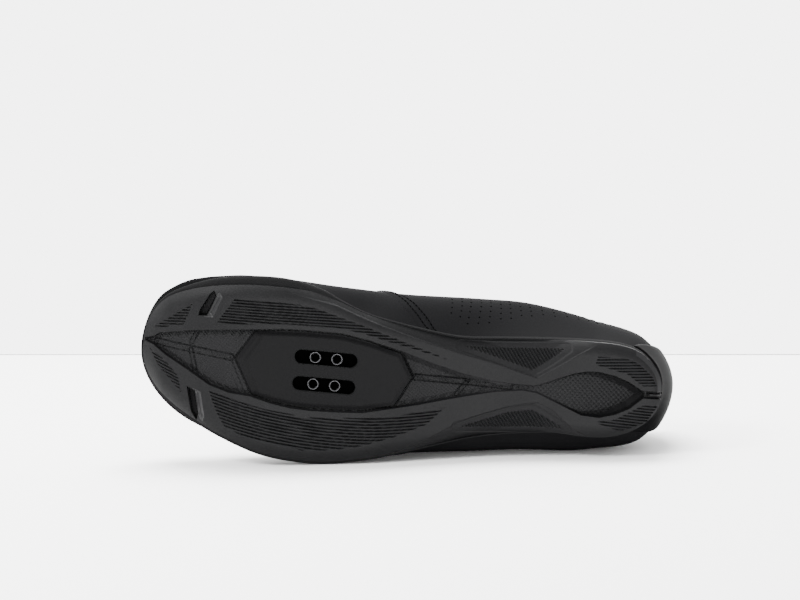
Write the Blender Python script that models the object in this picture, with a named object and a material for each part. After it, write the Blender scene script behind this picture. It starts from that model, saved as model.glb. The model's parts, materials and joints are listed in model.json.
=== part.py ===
"""Road and touring cycling shoe for the right foot, lying on its lateral side.

The shoe is modelled in its own axes: x from heel to toe, y towards the medial side,
z up from the ground that it would stand on. At the end it is laid on its lateral side,
toe to -X, sole to -Y, and the middle of its footprint goes to the origin.
"""

import math

import bmesh
import bpy
import numpy as np
from mathutils import Matrix, Vector, geometry

# Driving sizes in metres
LENGTH = 0.2815
BALL_WIDTH = 0.095
COLLAR_HEIGHT = 0.092
WALL = 0.002
GAP = 0.0003
FEATHER_GAP = 0.00045

# Sole, as it would stand on the ground
HEEL_STACK = 0.020
BALL_STACK = 0.010
ARCH_RISE = 0.009
TOE_SPRING = 0.024
HEEL_LUG = 0.0075
TREAD = 0.0032
TREAD_CHAMFER = 0.0034
TREAD_CHAMFER_RISE = 0.0016
RIM_SHARE = 0.010
FEATHER_INSET = 0.0012

# Cleat pad, its two slots and the nut plate behind them
PAD_LEVEL = 0.0024
PAD_MIDDLE = 0.1828
PAD_SIDE = -0.0055
SLOT_LENGTH = 0.0328
SLOT_WIDTH = 0.0072
SLOT_SPACING = 0.014
BARREL_SPACING = 0.0114
BARREL_DIAMETER = 0.0064
BARREL_BORE = 0.0042
BARREL_LENGTH = 0.0028
NUT_PLATE = (0.034, 0.024, 0.0018)
POCKET_LEVEL = 0.0062
POCKET_CLEARANCE = 0.0006
HEEL_LEAF_DEPTH = 0.0045

# Soft pieces
FOOTBED_DISH = 0.0055
FOOTBED_SLOPE = 0.0035
FOOTBED_RIM = 0.0040
INSOLE_THICKNESS = 0.003
INSOLE_CLEARANCE = 0.0006
TONGUE_THICKNESS = 0.0035
TONGUE_CLEARANCE = 0.0006
TONGUE_OVERLAP = 2
TONGUE_RISE = 0.018
TONGUE_CROWN = 0.0012
STRAP_THICKNESS = 0.0016
STRAP_CROWN = 0.0040
COUNTER_THICKNESS = 0.0019

# Faces along and around the pieces
RIBS = 72
RIB_STEPS = 11
SOLE_STATIONS = 64

# Outline of the tread seen from below, from the back of the heel round the medial side:
# along in parts of a hundred of LENGTH, side in parts of a hundred of BALL_WIDTH, and
# how far the rim of the plate stands out past it, in multiples of RIM_SHARE of BALL_WIDTH
SOLE_RING = (
    (2.4, -0.7, 0.3), (2.9, 7.4, 0.3), (4.4, 14.2, 0.3), (7.1, 20.3, 0.3),
    (10.6, 23.2, 0.3), (16.0, 23.7, 0.3), (24.5, 22.5, 0.3), (31.9, 20.8, 0.3),
    (39.7, 19.2, 0.3), (46.1, 21.1, 0.3), (53.2, 24.8, 0.3), (58.5, 28.4, 0.3),
    (63.1, 33.4, 0.7), (67.4, 37.2, 2.4), (73.4, 38.6, 4.6), (79.8, 38.3, 4.6),
    (86.2, 35.9, 3.8), (91.5, 31.3, 2.6), (95.4, 24.5, 2.0), (98.0, 14.2, 1.7),
    (99.1, 1.0, 1.7), (98.6, -10.5, 1.7), (96.8, -21.0, 1.7), (93.8, -30.0, 1.7),
    (89.4, -38.1, 1.7), (83.7, -45.7, 1.7), (76.2, -53.0, 1.7), (69.1, -55.6, 1.7),
    (63.1, -55.0, 1.7), (56.7, -51.8, 1.4), (51.4, -48.2, 1.0), (44.0, -42.0, 0.6),
    (37.2, -36.1, 0.3), (30.1, -31.6, 0.3), (22.0, -28.5, 0.3), (15.2, -28.7, 0.3),
    (11.0, -27.3, 0.3), (7.1, -22.9, 0.3), (4.1, -15.6, 0.3), (2.7, -7.9, 0.3),
)

# Underside and stack of the sole along its length, in parts of a hundred of LENGTH, then
# shares of ARCH_RISE, TOE_SPRING, HEEL_STACK, BALL_STACK, of the height of the heel lug
# and of the footbed's dish
SOLE_PROFILE = (
    (0.0, 0.00, 0.00, 1.00, 0.00, 1.00, 1.00),
    (5.0, 0.00, 0.00, 1.00, 0.00, 1.00, 1.00),
    (17.0, 0.00, 0.00, 1.00, 0.00, 0.95, 1.00),
    (25.0, 0.45, 0.00, 0.82, 0.08, 0.25, 1.00),
    (36.0, 1.00, 0.00, 0.45, 0.35, -0.20, 0.85),
    (48.0, 0.55, 0.00, 0.12, 0.85, -0.10, 0.50),
    (57.0, 0.00, 0.00, 0.00, 1.00, 0.00, 0.30),
    (74.0, 0.00, 0.00, 0.00, 1.00, 0.00, 0.30),
    (81.0, 0.00, 0.10, 0.00, 1.00, 0.00, 0.30),
    (89.0, 0.00, 0.38, 0.00, 0.97, 0.00, 0.30),
    (95.0, 0.00, 0.70, 0.00, 0.92, 0.00, 0.25),
    (100.0, 0.00, 1.00, 0.00, 0.86, 0.00, 0.20),
)

# The upper's ribs round the shoe: place on SOLE_RING, then the widest point, the shoulder
# and the edge of the opening, each as along and side in parts of a hundred of LENGTH and
# BALL_WIDTH, and height in parts of a hundred of COLLAR_HEIGHT
UPPER_RIBS = (
    (0.0, (1.0, -0.5, 48), (2.2, 0.0, 80), (4.2, 0.0, 100)),
    (3.0, (6.2, 25.5, 49), (6.8, 24.0, 76), (8.6, 19.0, 91)),
    (5.0, (16.0, 35.0, 50), (16.3, 33.0, 69), (16.7, 27.5, 79)),
    (6.5, (27.6, 40.3, 51), (27.6, 38.5, 72), (27.6, 30.5, 84)),
    (8.0, (37.2, 40.6, 48), (37.6, 35.5, 80), (36.2, 22.0, 100)),
    (10.0, (51.4, 39.4, 39), (50.7, 32.0, 73), (48.2, 17.0, 92)),
    (12.0, (62.0, 40.4, 30), (61.0, 31.0, 64), (58.0, 15.0, 77)),
    (14.0, (73.4, 41.2, 24), (72.0, 30.0, 53), (66.0, 12.5, 64)),
    (16.0, (86.2, 38.8, 25), (83.0, 25.5, 49), (69.5, 8.5, 59)),
    (18.0, (95.6, 26.5, 35), (90.7, 16.5, 51), (71.0, 3.5, 57)),
    (20.0, (99.5, 1.0, 39), (94.2, 0.0, 55), (71.2, -1.5, 56.5)),
    (22.0, (97.6, -21.2, 36), (91.5, -14.5, 51), (70.8, -6.5, 56.5)),
    (24.0, (90.0, -39.3, 28), (85.0, -25.0, 46), (69.5, -11.5, 58)),
    (26.0, (76.2, -53.2, 23), (73.7, -39.0, 46), (66.3, -17.0, 62)),
    (28.0, (63.1, -54.0, 27), (61.7, -45.0, 55), (58.5, -20.5, 74)),
    (30.0, (51.4, -50.6, 38), (50.7, -46.5, 66), (48.2, -21.5, 90)),
    (32.0, (37.2, -45.8, 42), (37.6, -42.5, 70), (35.8, -23.5, 99)),
    (33.5, (27.6, -42.0, 39), (27.6, -39.5, 64), (27.6, -32.0, 81)),
    (35.0, (16.0, -38.6, 36), (16.3, -36.0, 62), (16.7, -29.5, 76)),
    (37.0, (6.2, -28.2, 38), (6.8, -26.5, 70), (8.6, -20.5, 90)),
)

# Openings through the tread, seen from below: along in parts of a hundred of LENGTH and
# side in parts of a hundred of BALL_WIDTH
FRONT_OPENING = (
    (97.6, 3.2), (96.7, 6.2), (90.5, 9.9), (79.2, 14.1), (73.6, 16.0), (68.9, 16.5),
    (62.3, 16.5), (57.2, 14.0), (51.0, 9.4), (45.6, 4.4), (39.7, -0.2), (35.5, -3.6),
    (35.5, -6.4), (42.5, -16.0), (47.2, -19.8), (51.6, -22.6), (57.5, -26.4), (62.5, -27.3),
    (67.5, -27.7), (70.9, -27.2), (74.3, -25.7), (78.4, -22.8), (82.4, -22.1),
    (86.2, -19.2), (90.5, -12.4), (95.1, -5.8), (97.6, -1.8),
)
HEEL_LEAF = (
    (26.0, -4.8), (23.9, -0.7), (21.8, 2.2), (18.7, 6.0), (16.6, 7.6), (14.4, 7.9),
    (11.4, 6.5), (8.7, 3.8), (5.5, -0.8), (1.5, -0.9), (1.5, -3.4), (5.3, -3.9),
    (8.2, -10.8), (10.7, -14.7), (13.6, -17.2), (16.9, -16.8), (21.1, -12.0), (25.5, -6.8),
)
MEDIAL_WINDOW = ((40.2, 14.9), (34.5, 15.2), (20.6, 18.9), (23.5, 11.4), (26.6, 4.8), (31.8, 8.7))
LATERAL_WINDOW = (
    (39.6, -30.4), (35.1, -25.1), (30.4, -19.3), (26.0, -16.6), (22.8, -20.5), (19.6, -25.4),
    (26.0, -26.6), (33.3, -29.0),
)
MEDIAL_PORT = ((86.8, 33.2), (86.2, 30.3), (87.7, 18.8), (89.4, 18.4), (89.2, 21.6), (87.6, 30.6))
LATERAL_PORT = ((90.5, -21.4), (88.9, -22.9), (87.8, -35.9), (88.1, -40.0), (89.3, -34.9))

# Cleat pad inside the front opening
CLEAT_PAD = (
    (78.4, 13.4), (81.8, -2.5), (78.2, -21.8), (74.2, -24.6), (70.8, -26.1), (67.4, -26.6),
    (62.5, -26.2), (57.6, -25.3), (51.6, -21.4), (48.6, -4.4), (51.1, 8.2), (57.3, 12.8),
    (62.3, 15.3), (68.8, 15.3), (73.5, 14.8),
)

# Pairs of ribs that face each other across the throat, from its front: the first pair and
# how many follow it up to the collar
THROAT_MEDIAL = 30
THROAT_LATERAL = 42
THROAT_PAIRS = 17

# Straps across the throat: name, first and last pair of ribs, and steps down each side
STRAPS = (
    ("strap_toe", 2, 5, 3),
    ("strap_mid", 7, 10, 3),
    ("strap_top", 12, 15, 3),
)

# Heel cup: ribs to each side of the back of the heel, and steps up from the sole
COUNTER_RIBS = 6
COUNTER_STEPS = 7

# Colours, roughness and metal share, and weight in kilograms a cubic metre
MATERIALS = {
    "synthetic_leather": ((0.016, 0.016, 0.017), 0.55, 0.0, 950),
    "nylon": ((0.013, 0.013, 0.014), 0.50, 0.0, 1150),
    "rubber": ((0.020, 0.020, 0.021), 0.62, 0.0, 1150),
    "steel": ((0.30, 0.30, 0.31), 0.30, 1.0, 7850),
    "moulded_plastic": ((0.018, 0.018, 0.019), 0.48, 0.0, 1100),
    "foam": ((0.030, 0.030, 0.032), 0.85, 0.0, 200),
    "padded_cloth": ((0.018, 0.018, 0.019), 0.80, 0.0, 300),
    "strap_cloth": ((0.014, 0.014, 0.015), 0.60, 0.0, 900),
}


def clear_scene():
    for obj in list(bpy.data.objects):
        bpy.data.objects.remove(obj, do_unlink=True)


def material(name):
    colour, roughness, metallic, _ = MATERIALS[name]
    made = bpy.data.materials.get(name) or bpy.data.materials.new(name)
    made.use_nodes = True
    shader = made.node_tree.nodes["Principled BSDF"]
    shader.inputs["Base Color"].default_value = (*colour, 1.0)
    shader.inputs["Roughness"].default_value = roughness
    shader.inputs["Metallic"].default_value = metallic
    return made


def steady(x, xs, ys):
    """Smooth curve through the rows that never overshoots them, so level stretches stay level."""
    xs, ys = np.asarray(xs, float), np.asarray(ys, float)
    steps = np.diff(xs)
    slopes = np.diff(ys) / steps
    tangents = np.zeros(len(xs))
    for i in range(1, len(xs) - 1):
        before, after = slopes[i - 1], slopes[i]
        if before * after > 0:
            tangents[i] = 2 * before * after / (before + after)
    x = float(np.clip(x, xs[0], xs[-1]))
    i = int(np.clip(np.searchsorted(xs, x) - 1, 0, len(steps) - 1))
    t = (x - xs[i]) / steps[i]
    return float(
        (2 * t**3 - 3 * t**2 + 1) * ys[i]
        + (t**3 - 2 * t**2 + t) * steps[i] * tangents[i]
        + (3 * t**2 - 2 * t**3) * ys[i + 1]
        + (t**3 - t**2) * steps[i] * tangents[i + 1]
    )


def round_curve(places, rows, place, period):
    """Point on a closed smooth curve through rows, each at its own place along the round."""
    count = len(rows)
    place = place % period
    i = int(np.searchsorted(places, place, side="right")) - 1

    def row(j):
        return np.asarray(rows[j % count], float), places[j % count] + period * (j // count)

    (p0, u0), (p1, u1), (p2, u2), (p3, u3) = row(i - 1), row(i), row(i + 1), row(i + 2)
    t = (place - u1) / (u2 - u1)
    m1 = (p2 - p0) / (u2 - u0) * (u2 - u1)
    m2 = (p3 - p1) / (u3 - u1) * (u2 - u1)
    return (
        (2 * t**3 - 3 * t**2 + 1) * p1 + (t**3 - 2 * t**2 + t) * m1
        + (3 * t**2 - 2 * t**3) * p2 + (t**3 - t**2) * m2
    )


RING_COUNT = len(SOLE_RING)
RIB_PLACES = [row[0] for row in UPPER_RIBS]


def ring_point(place, outward=0.0, rim=True):
    """Plan point of the sole's edge, moved outward, with or without the plate's rim."""
    places = range(RING_COUNT)
    along, side, stand = round_curve(places, SOLE_RING, place, RING_COUNT)
    ahead = round_curve(places, SOLE_RING, place + 0.05, RING_COUNT)
    behind = round_curve(places, SOLE_RING, place - 0.05, RING_COUNT)
    point = np.array((along * LENGTH, side * BALL_WIDTH)) / 100
    run = np.array(((ahead[0] - behind[0]) * LENGTH, (ahead[1] - behind[1]) * BALL_WIDTH))
    normal = np.array((-run[1], run[0])) / np.linalg.norm(run)
    if rim:
        outward += stand * RIM_SHARE * BALL_WIDTH
    return point + normal * outward


def profile(x, column):
    return steady(x / LENGTH * 100, [r[0] for r in SOLE_PROFILE], [r[column] for r in SOLE_PROFILE])


def ground_level(x):
    return ARCH_RISE * profile(x, 1) + TOE_SPRING * profile(x, 2)


def top_level(x):
    return ground_level(x) + HEEL_STACK * profile(x, 3) + BALL_STACK * profile(x, 4)


def footbed_level(x):
    return top_level(x) - FOOTBED_DISH * profile(x, 6)


def tread_top(x):
    return ground_level(x) + TREAD + (HEEL_LUG - TREAD) * profile(x, 5)


def rib_point(place, up):
    """Outer face of the upper: place round the shoe, up from 0 at the sole to 1 at the opening."""
    period = RING_COUNT
    size = np.array((LENGTH, BALL_WIDTH, COLLAR_HEIGHT)) / 100
    foot = ring_point(place, -FEATHER_INSET)
    marks = [np.array((foot[0], foot[1], top_level(foot[0]) + FEATHER_GAP))]
    for column in (1, 2, 3):
        rows = [row[column] for row in UPPER_RIBS]
        marks.append(round_curve(RIB_PLACES, rows, place, period) * size)
    low = marks[0] * 1.6 - marks[1] * 0.6
    low[2] = marks[0][2] - 0.6 * (marks[1][2] - marks[0][2])
    high = marks[3] + (marks[3] - marks[2]) * 0.7
    marks = [low, *marks, high]
    spot = min(max(up, 0.0), 1.0) * 3
    i = min(int(spot), 2)
    t = spot - i
    p0, p1, p2, p3 = marks[i:i + 4]
    return 0.5 * (
        2 * p1 + (p2 - p0) * t + (2 * p0 - 5 * p1 + 4 * p2 - p3) * t**2
        + (3 * p1 - p0 - 3 * p2 + p3) * t**3
    )


def shell_point(place, up, depth):
    """Point at a depth inside the upper's outer face, or outside it where depth is negative."""
    point = rib_point(place, up)
    around = rib_point(place + 0.1, up) - rib_point(place - 0.1, up)
    rise = rib_point(place, min(up + 0.02, 1.0)) - rib_point(place, max(up - 0.02, 0.0))
    normal = np.cross(around, rise)
    if up < 0.001:
        normal[2] = 0.0
    normal /= np.linalg.norm(normal)
    point = point + normal * depth
    foot_level = top_level(point[0]) + FEATHER_GAP
    point[2] = foot_level if up < 0.001 else max(point[2], foot_level)
    return point


def mesh_object(name, points, faces, finish):
    mesh = bpy.data.meshes.new(name)
    mesh.from_pydata([tuple(p) for p in points], [], faces)
    mesh.validate()
    shape = bmesh.new()
    shape.from_mesh(mesh)
    bmesh.ops.remove_doubles(shape, verts=shape.verts, dist=1e-6)
    bmesh.ops.recalc_face_normals(shape, faces=shape.faces)
    shape.to_mesh(mesh)
    shape.free()
    mesh.materials.append(material(finish))
    mesh.shade_smooth()
    mesh.set_sharp_from_angle(angle=math.radians(40))
    obj = bpy.data.objects.new(name, mesh)
    bpy.context.collection.objects.link(obj)
    return obj


def grid_faces(rows, columns, closed):
    """Quads between rows of points; closed joins the last row to the first."""
    faces = []
    for i in range(rows if closed else rows - 1):
        for j in range(columns - 1):
            a = i * columns + j
            b = (i + 1) % rows * columns + j
            faces.append((a, b, b + 1, a + 1))
    return faces


def shell_sheet(name, places, ups, outside, inside, finish, closed=False):
    """A sheet with thickness that follows the upper between two depths."""
    rows, columns = len(places), len(ups)
    outer = [shell_point(p, u, outside) for p in places for u in ups]
    inner = [shell_point(p, u, inside) for p in places for u in ups]
    count = rows * columns
    faces = grid_faces(rows, columns, closed)
    faces += [tuple(count + i for i in reversed(face)) for face in faces]
    for i in range(rows if closed else rows - 1):
        a, b = i * columns, (i + 1) % rows * columns
        faces.append((a, count + a, count + b, b))
        faces.append((a + columns - 1, b + columns - 1, count + b + columns - 1, count + a + columns - 1))
    if not closed:
        for start in (0, (rows - 1) * columns):
            for j in range(start, start + columns - 1):
                faces.append((j, j + 1, count + j + 1, count + j))
    return mesh_object(name, outer + inner, faces, finish)


def rib_place(rib):
    return RING_COUNT * rib / RIBS


def make_upper():
    places = [rib_place(rib) for rib in range(RIBS)]
    ups = [step / RIB_STEPS for step in range(RIB_STEPS + 1)]
    return shell_sheet("upper", places, ups, 0.0, WALL, "synthetic_leather", closed=True)


def make_heel_counter():
    places = [rib_place(rib) for rib in range(-COUNTER_RIBS, COUNTER_RIBS + 1)]
    ups = [step / RIB_STEPS for step in range(COUNTER_STEPS + 1)]
    return shell_sheet("heel_counter", places, ups, -GAP - COUNTER_THICKNESS, -GAP, "moulded_plastic")


def sole_sides(outward, rim):
    """Medial and lateral edge of the sole as functions of the distance from the heel."""
    ring = [ring_point(RING_COUNT * i / 400, outward, rim) for i in range(400)]
    ring = np.array(ring)
    back, front = int(np.argmin(ring[:, 0])), int(np.argmax(ring[:, 0]))
    ring = np.roll(ring, -back, axis=0)
    front = (front - back) % 400
    medial = ring[: front + 1]
    lateral = np.vstack((ring[front:], ring[:1]))[::-1]
    start, stop = ring[0, 0], ring[front, 0]

    def medial_side(x):
        return float(np.interp(x, medial[:, 0], medial[:, 1]))

    def lateral_side(x):
        return float(np.interp(x, lateral[:, 0], lateral[:, 1]))

    return start, stop, medial_side, lateral_side


def lofted_sole(name, outward, rim, section, finish):
    """Body lofted through upright sections across the sole, close together at its round ends."""
    start, stop, medial_side, lateral_side = sole_sides(outward, rim)
    points = []
    columns = 0
    for i in range(SOLE_STATIONS):
        turn = math.pi * (0.035 + 0.93 * i / (SOLE_STATIONS - 1))
        x = start + (stop - start) * (1 - math.cos(turn)) / 2
        ring = section(x, medial_side(x), lateral_side(x), start, stop)
        columns = len(ring)
        points += [(x, y, z) for y, z in ring]
    faces = []
    for i in range(SOLE_STATIONS - 1):
        for j in range(columns):
            a, b = i * columns + j, i * columns + (j + 1) % columns
            faces.append((a, b, b + columns, a + columns))
    faces.append(tuple(range(columns)))
    last = (SOLE_STATIONS - 1) * columns
    faces.append(tuple(range(last, last + columns)))
    return mesh_object(name, points, faces, finish)


def end_share(x, start, stop, reach):
    """1 at the two round ends of the sole and 0 from a reach inside them."""
    return max(0.0, 1.0 - min(x - start, stop - x) / reach)


def tread_section(x, medial, lateral, start, stop):
    end = end_share(x, start, stop, TREAD_CHAMFER)
    low = ground_level(x) + TREAD_CHAMFER_RISE * end
    edge = ground_level(x) + TREAD_CHAMFER_RISE
    edge = max(edge, low + 0.0001)
    inset = min(TREAD_CHAMFER, (medial - lateral) * 0.3)
    high = tread_top(x)
    return (
        (medial, high), (medial, edge), (medial - inset, low),
        (lateral + inset, low), (lateral, edge), (lateral, high),
    )


def plate_section(x, medial, lateral, start, stop):
    low, high, bed = tread_top(x) + GAP, top_level(x), footbed_level(x)
    bead = min((high - low) * 0.3, 0.002)
    width = medial - lateral
    pull = min(bead, width * 0.1)
    brim = min(FOOTBED_RIM, width * 0.25)
    foot = min(FOOTBED_RIM + FOOTBED_SLOPE, width * 0.4)
    if end_share(x, start, stop, FOOTBED_RIM) > 0:
        bed = high - 0.0001
    return (
        (medial - brim, high), (medial - pull, high), (medial, high - bead), (medial, low + bead),
        (medial - pull, low), (lateral + pull, low), (lateral, low + bead), (lateral, high - bead),
        (lateral + pull, high), (lateral + brim, high), (lateral + foot, bed), (medial - foot, bed),
    )


def insole_section(x, medial, lateral, start, stop):
    low = footbed_level(x) + FEATHER_GAP
    high = low + INSOLE_THICKNESS
    return ((medial, high), (medial, low), (lateral, low), (lateral, high))


def plan_prism(name, plan, low, high, finish="rubber"):
    """Upright block over a plan given in parts of a hundred of the length and ball width."""
    flat = [(x * LENGTH / 100, y * BALL_WIDTH / 100) for x, y in plan]
    count = len(flat)
    points = [(x, y, low) for x, y in flat] + [(x, y, high) for x, y in flat]
    faces = [(i, (i + 1) % count, count + (i + 1) % count, count + i) for i in range(count)]
    faces.append(tuple(range(count)))
    faces.append(tuple(range(count, 2 * count)))
    return mesh_object(name, points, faces, finish)


def slot_block(name, x, y, length, width, low, high, turns=12):
    """Upright block with round ends, or a round one where length equals width."""
    radius, reach = width / 2, (length - width) / 2
    flat = []
    for end, first in ((1, -90), (-1, 90)):
        for i in range(turns + 1):
            if reach == 0 and i == turns:
                continue
            angle = math.radians(first + 180 * i / turns)
            flat.append((x + end * reach + radius * math.cos(angle), y + radius * math.sin(angle)))
    count = len(flat)
    points = [(*p, low) for p in flat] + [(*p, high) for p in flat]
    faces = [(i, (i + 1) % count, count + (i + 1) % count, count + i) for i in range(count)]
    faces.append(tuple(range(count)))
    faces.append(tuple(range(count, 2 * count)))
    return mesh_object(name, points, faces, "nylon")


def boolean(body, tool, operation):
    """Cut or join with the exact solver, then drop the tool."""
    modifier = body.modifiers.new(operation.lower(), "BOOLEAN")
    modifier.operation = operation
    modifier.solver = "EXACT"
    modifier.object = tool
    graph = bpy.context.evaluated_depsgraph_get()
    result = bpy.data.meshes.new_from_object(body.evaluated_get(graph))
    body.modifiers.clear()
    body.data = result
    bpy.data.objects.remove(tool, do_unlink=True)


def make_outsole():
    body = lofted_sole("outsole", 0.0, False, tread_section, "rubber")
    high = HEEL_STACK + TOE_SPRING
    plans = (FRONT_OPENING, MEDIAL_WINDOW, LATERAL_WINDOW, MEDIAL_PORT, LATERAL_PORT)
    for plan in plans:
        boolean(body, plan_prism("cutter", plan, -TREAD, high), "DIFFERENCE")
    boolean(body, plan_prism("cutter", HEEL_LEAF, -TREAD, HEEL_LEAF_DEPTH), "DIFFERENCE")
    return body


def make_sole_plate():
    body = lofted_sole("sole_plate", 0.0, True, plate_section, "nylon")
    boolean(body, plan_prism("pad", CLEAT_PAD, PAD_LEVEL, POCKET_LEVEL, "nylon"), "UNION")
    for side in (-1, 1):
        y = PAD_SIDE + side * SLOT_SPACING / 2
        tool = slot_block("cutter", PAD_MIDDLE, y, SLOT_LENGTH, SLOT_WIDTH, -TREAD, HEEL_STACK)
        boolean(body, tool, "DIFFERENCE")
    length, width, _ = NUT_PLATE
    room = 2 * POCKET_CLEARANCE + 2 * BARREL_SPACING / 2
    block = slot_block(
        "cutter", PAD_MIDDLE, PAD_SIDE, length + room, width + 2 * POCKET_CLEARANCE,
        POCKET_LEVEL, HEEL_STACK,
    )
    boolean(body, block, "DIFFERENCE")
    return body


def make_nut_plate():
    length, width, thickness = NUT_PLATE
    low = POCKET_LEVEL + GAP
    body = slot_block("cleat_nut_plate", PAD_MIDDLE, PAD_SIDE, length, width, low, low + thickness)
    spots = [
        (PAD_MIDDLE + i * BARREL_SPACING / 2, PAD_SIDE + j * SLOT_SPACING / 2)
        for i in (-1, 1) for j in (-1, 1)
    ]
    for x, y in spots:
        barrel = slot_block(
            "barrel", x, y, BARREL_DIAMETER, BARREL_DIAMETER, low - BARREL_LENGTH, low + thickness / 2
        )
        boolean(body, barrel, "UNION")
    for x, y in spots:
        bore = slot_block("cutter", x, y, BARREL_BORE, BARREL_BORE, -TREAD, HEEL_STACK, turns=8)
        boolean(body, bore, "DIFFERENCE")
    body.data.materials.clear()
    body.data.materials.append(material("steel"))
    return body


def make_insole():
    inset = -(FOOTBED_RIM + FOOTBED_SLOPE + INSOLE_CLEARANCE)
    return lofted_sole("insole", inset, True, insole_section, "foam")


def across_throat(pair, steps, depth, crown, spans=4):
    """Points across the throat: up one side at a depth, over the gap with a crown, down the other."""
    medial, lateral = rib_place(THROAT_MEDIAL - pair), rib_place(THROAT_LATERAL + pair)
    ups = [1 - step / RIB_STEPS for step in steps]
    rise = [shell_point(medial, up, depth) for up in ups]
    fall = [shell_point(lateral, up, depth) for up in reversed(ups)]
    middle = []
    for i in range(1, spans):
        t = i / spans
        point = rise[-1] * (1 - t) + fall[0] * t
        point[2] += crown * 4 * t * (1 - t)
        middle.append(point)
    return rise + middle + fall


def slab(name, outer_rows, inner_rows, finish):
    """Closed sheet between two grids of points."""
    rows, columns = len(outer_rows), len(outer_rows[0])
    points = [p for row in outer_rows for p in row] + [p for row in inner_rows for p in row]
    count = rows * columns
    faces = grid_faces(rows, columns, False)
    faces += [tuple(count + i for i in reversed(face)) for face in faces]
    for i in range(rows - 1):
        a, b = i * columns, (i + 1) * columns
        faces.append((a, count + a, count + b, b))
        faces.append((a + columns - 1, b + columns - 1, count + b + columns - 1, count + a + columns - 1))
    for start in (0, (rows - 1) * columns):
        for j in range(start, start + columns - 1):
            faces.append((j, j + 1, count + j + 1, count + j))
    return mesh_object(name, points, faces, finish)


def tongue_top(row, lift):
    """Row of the tongue's free top, drawn in from its last row under the collar."""
    count = len(row)
    first, last = row[TONGUE_OVERLAP], row[count - 1 - TONGUE_OVERLAP]
    middle = (first + last) / 2
    narrow = 0.94 - 0.22 * lift**2
    shift = np.array((-0.55, 0.0, 0.83)) * TONGUE_RISE * lift
    raised = []
    for i in range(count):
        t = i / (count - 1)
        point = first * (1 - t) + last * t
        point = middle + (point - middle) * narrow + shift
        point[2] += TONGUE_CROWN * 4 * t * (1 - t)
        raised.append(point)
    return raised


def make_tongue():
    near = WALL + TONGUE_CLEARANCE
    sheets = []
    for depth in (near, near + TONGUE_THICKNESS):
        rows = []
        for pair in range(THROAT_PAIRS):
            left = THROAT_PAIRS - 1 - pair
            reach = min(1.0, left / 4)
            steps = [reach * TONGUE_OVERLAP * (1 - i / TONGUE_OVERLAP) for i in range(TONGUE_OVERLAP)]
            rows.append(across_throat(pair, (*steps, 0), depth, TONGUE_CROWN))
        last = rows[-1]
        rows += [tongue_top(last, lift) for lift in (0.3, 0.65, 1.0)]
        sheets.append(rows)
    return slab("tongue", *sheets, "padded_cloth")


def make_strap(name, first, last, reach):
    steps = range(reach, -1, -1)
    sheets = []
    for depth in (-GAP - STRAP_THICKNESS, -GAP):
        sheets.append([across_throat(pair, steps, depth, STRAP_CROWN) for pair in range(first, last + 1)])
    return slab(name, *sheets, "strap_cloth")


def weight_centre(parts):
    """Centre of weight from each body's volume and its material's density."""
    total, moment = 0.0, Vector((0, 0, 0))
    for obj in parts:
        density = MATERIALS[obj.data.materials[0].name][3]
        obj.data.calc_loop_triangles()
        points = obj.data.vertices
        for triangle in obj.data.loop_triangles:
            a, b, c = (points[i].co for i in triangle.vertices)
            share = a.dot(b.cross(c)) / 6 * density
            total += share
            moment += (a + b + c) / 4 * share
    return moment / total, total


def resting_normal(parts, centre):
    """Outward normal of the lateral hull face that the weight rests on, nearest to level."""
    hull = bmesh.new()
    for obj in parts:
        for vertex in obj.data.vertices:
            hull.verts.new(vertex.co)
    bmesh.ops.convex_hull(hull, input=hull.verts)
    best = None
    for face in hull.faces:
        normal = face.normal
        if normal.dot(face.verts[0].co - centre) < 0:
            normal = -normal
        if normal.y > -0.8:
            continue
        corners = [v.co for v in face.verts[:3]]
        hit = geometry.intersect_ray_tri(*corners, normal, centre, True)
        if hit is not None and (best is None or normal.z > best.z):
            best = normal.copy()
    hull.free()
    return best


def lay_down(parts):
    """Turn the shoe onto its lateral side, toe to -X, and set its footprint over the origin."""
    centre, _ = weight_centre(parts)
    down = resting_normal(parts, centre)
    up = -down
    toe = Vector((1, 0, 0))
    toe = (toe - up * toe.dot(up)).normalized()
    dorsal = toe.cross(up).normalized()
    spin = Matrix((-toe, dorsal, up))
    turned = [spin @ v.co for obj in parts for v in obj.data.vertices]
    low = Vector([min(p[i] for p in turned) for i in range(3)])
    high = Vector([max(p[i] for p in turned) for i in range(3)])
    shift = Vector((-(low.x + high.x) / 2, -(low.y + high.y) / 2, -low.z))
    frame = bpy.data.objects.new("shoe_frame", None)
    bpy.context.collection.objects.link(frame)
    frame.matrix_world = Matrix.Translation(shift) @ spin.to_4x4()
    for obj in parts:
        obj.parent = frame


def main():
    clear_scene()
    parts = [make_upper(), make_heel_counter(), make_outsole(), make_sole_plate()]
    parts += [make_nut_plate(), make_insole(), make_tongue()]
    for row in STRAPS:
        parts.append(make_strap(*row))
    lay_down(parts)


main()
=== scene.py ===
"""Looks of the cycling shoe: camera, studio, materials and the finely modelled pieces.

Shapes are worked out in the shoe's own axes in millimetres: x from heel to toe, y towards
the medial side, z up from the ground it would stand on. shoe_to_world lays them where the
solids lie, on the lateral side.
"""

import json
import math

import bmesh
import bpy
import numpy as np
from mathutils import Matrix, Vector


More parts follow.
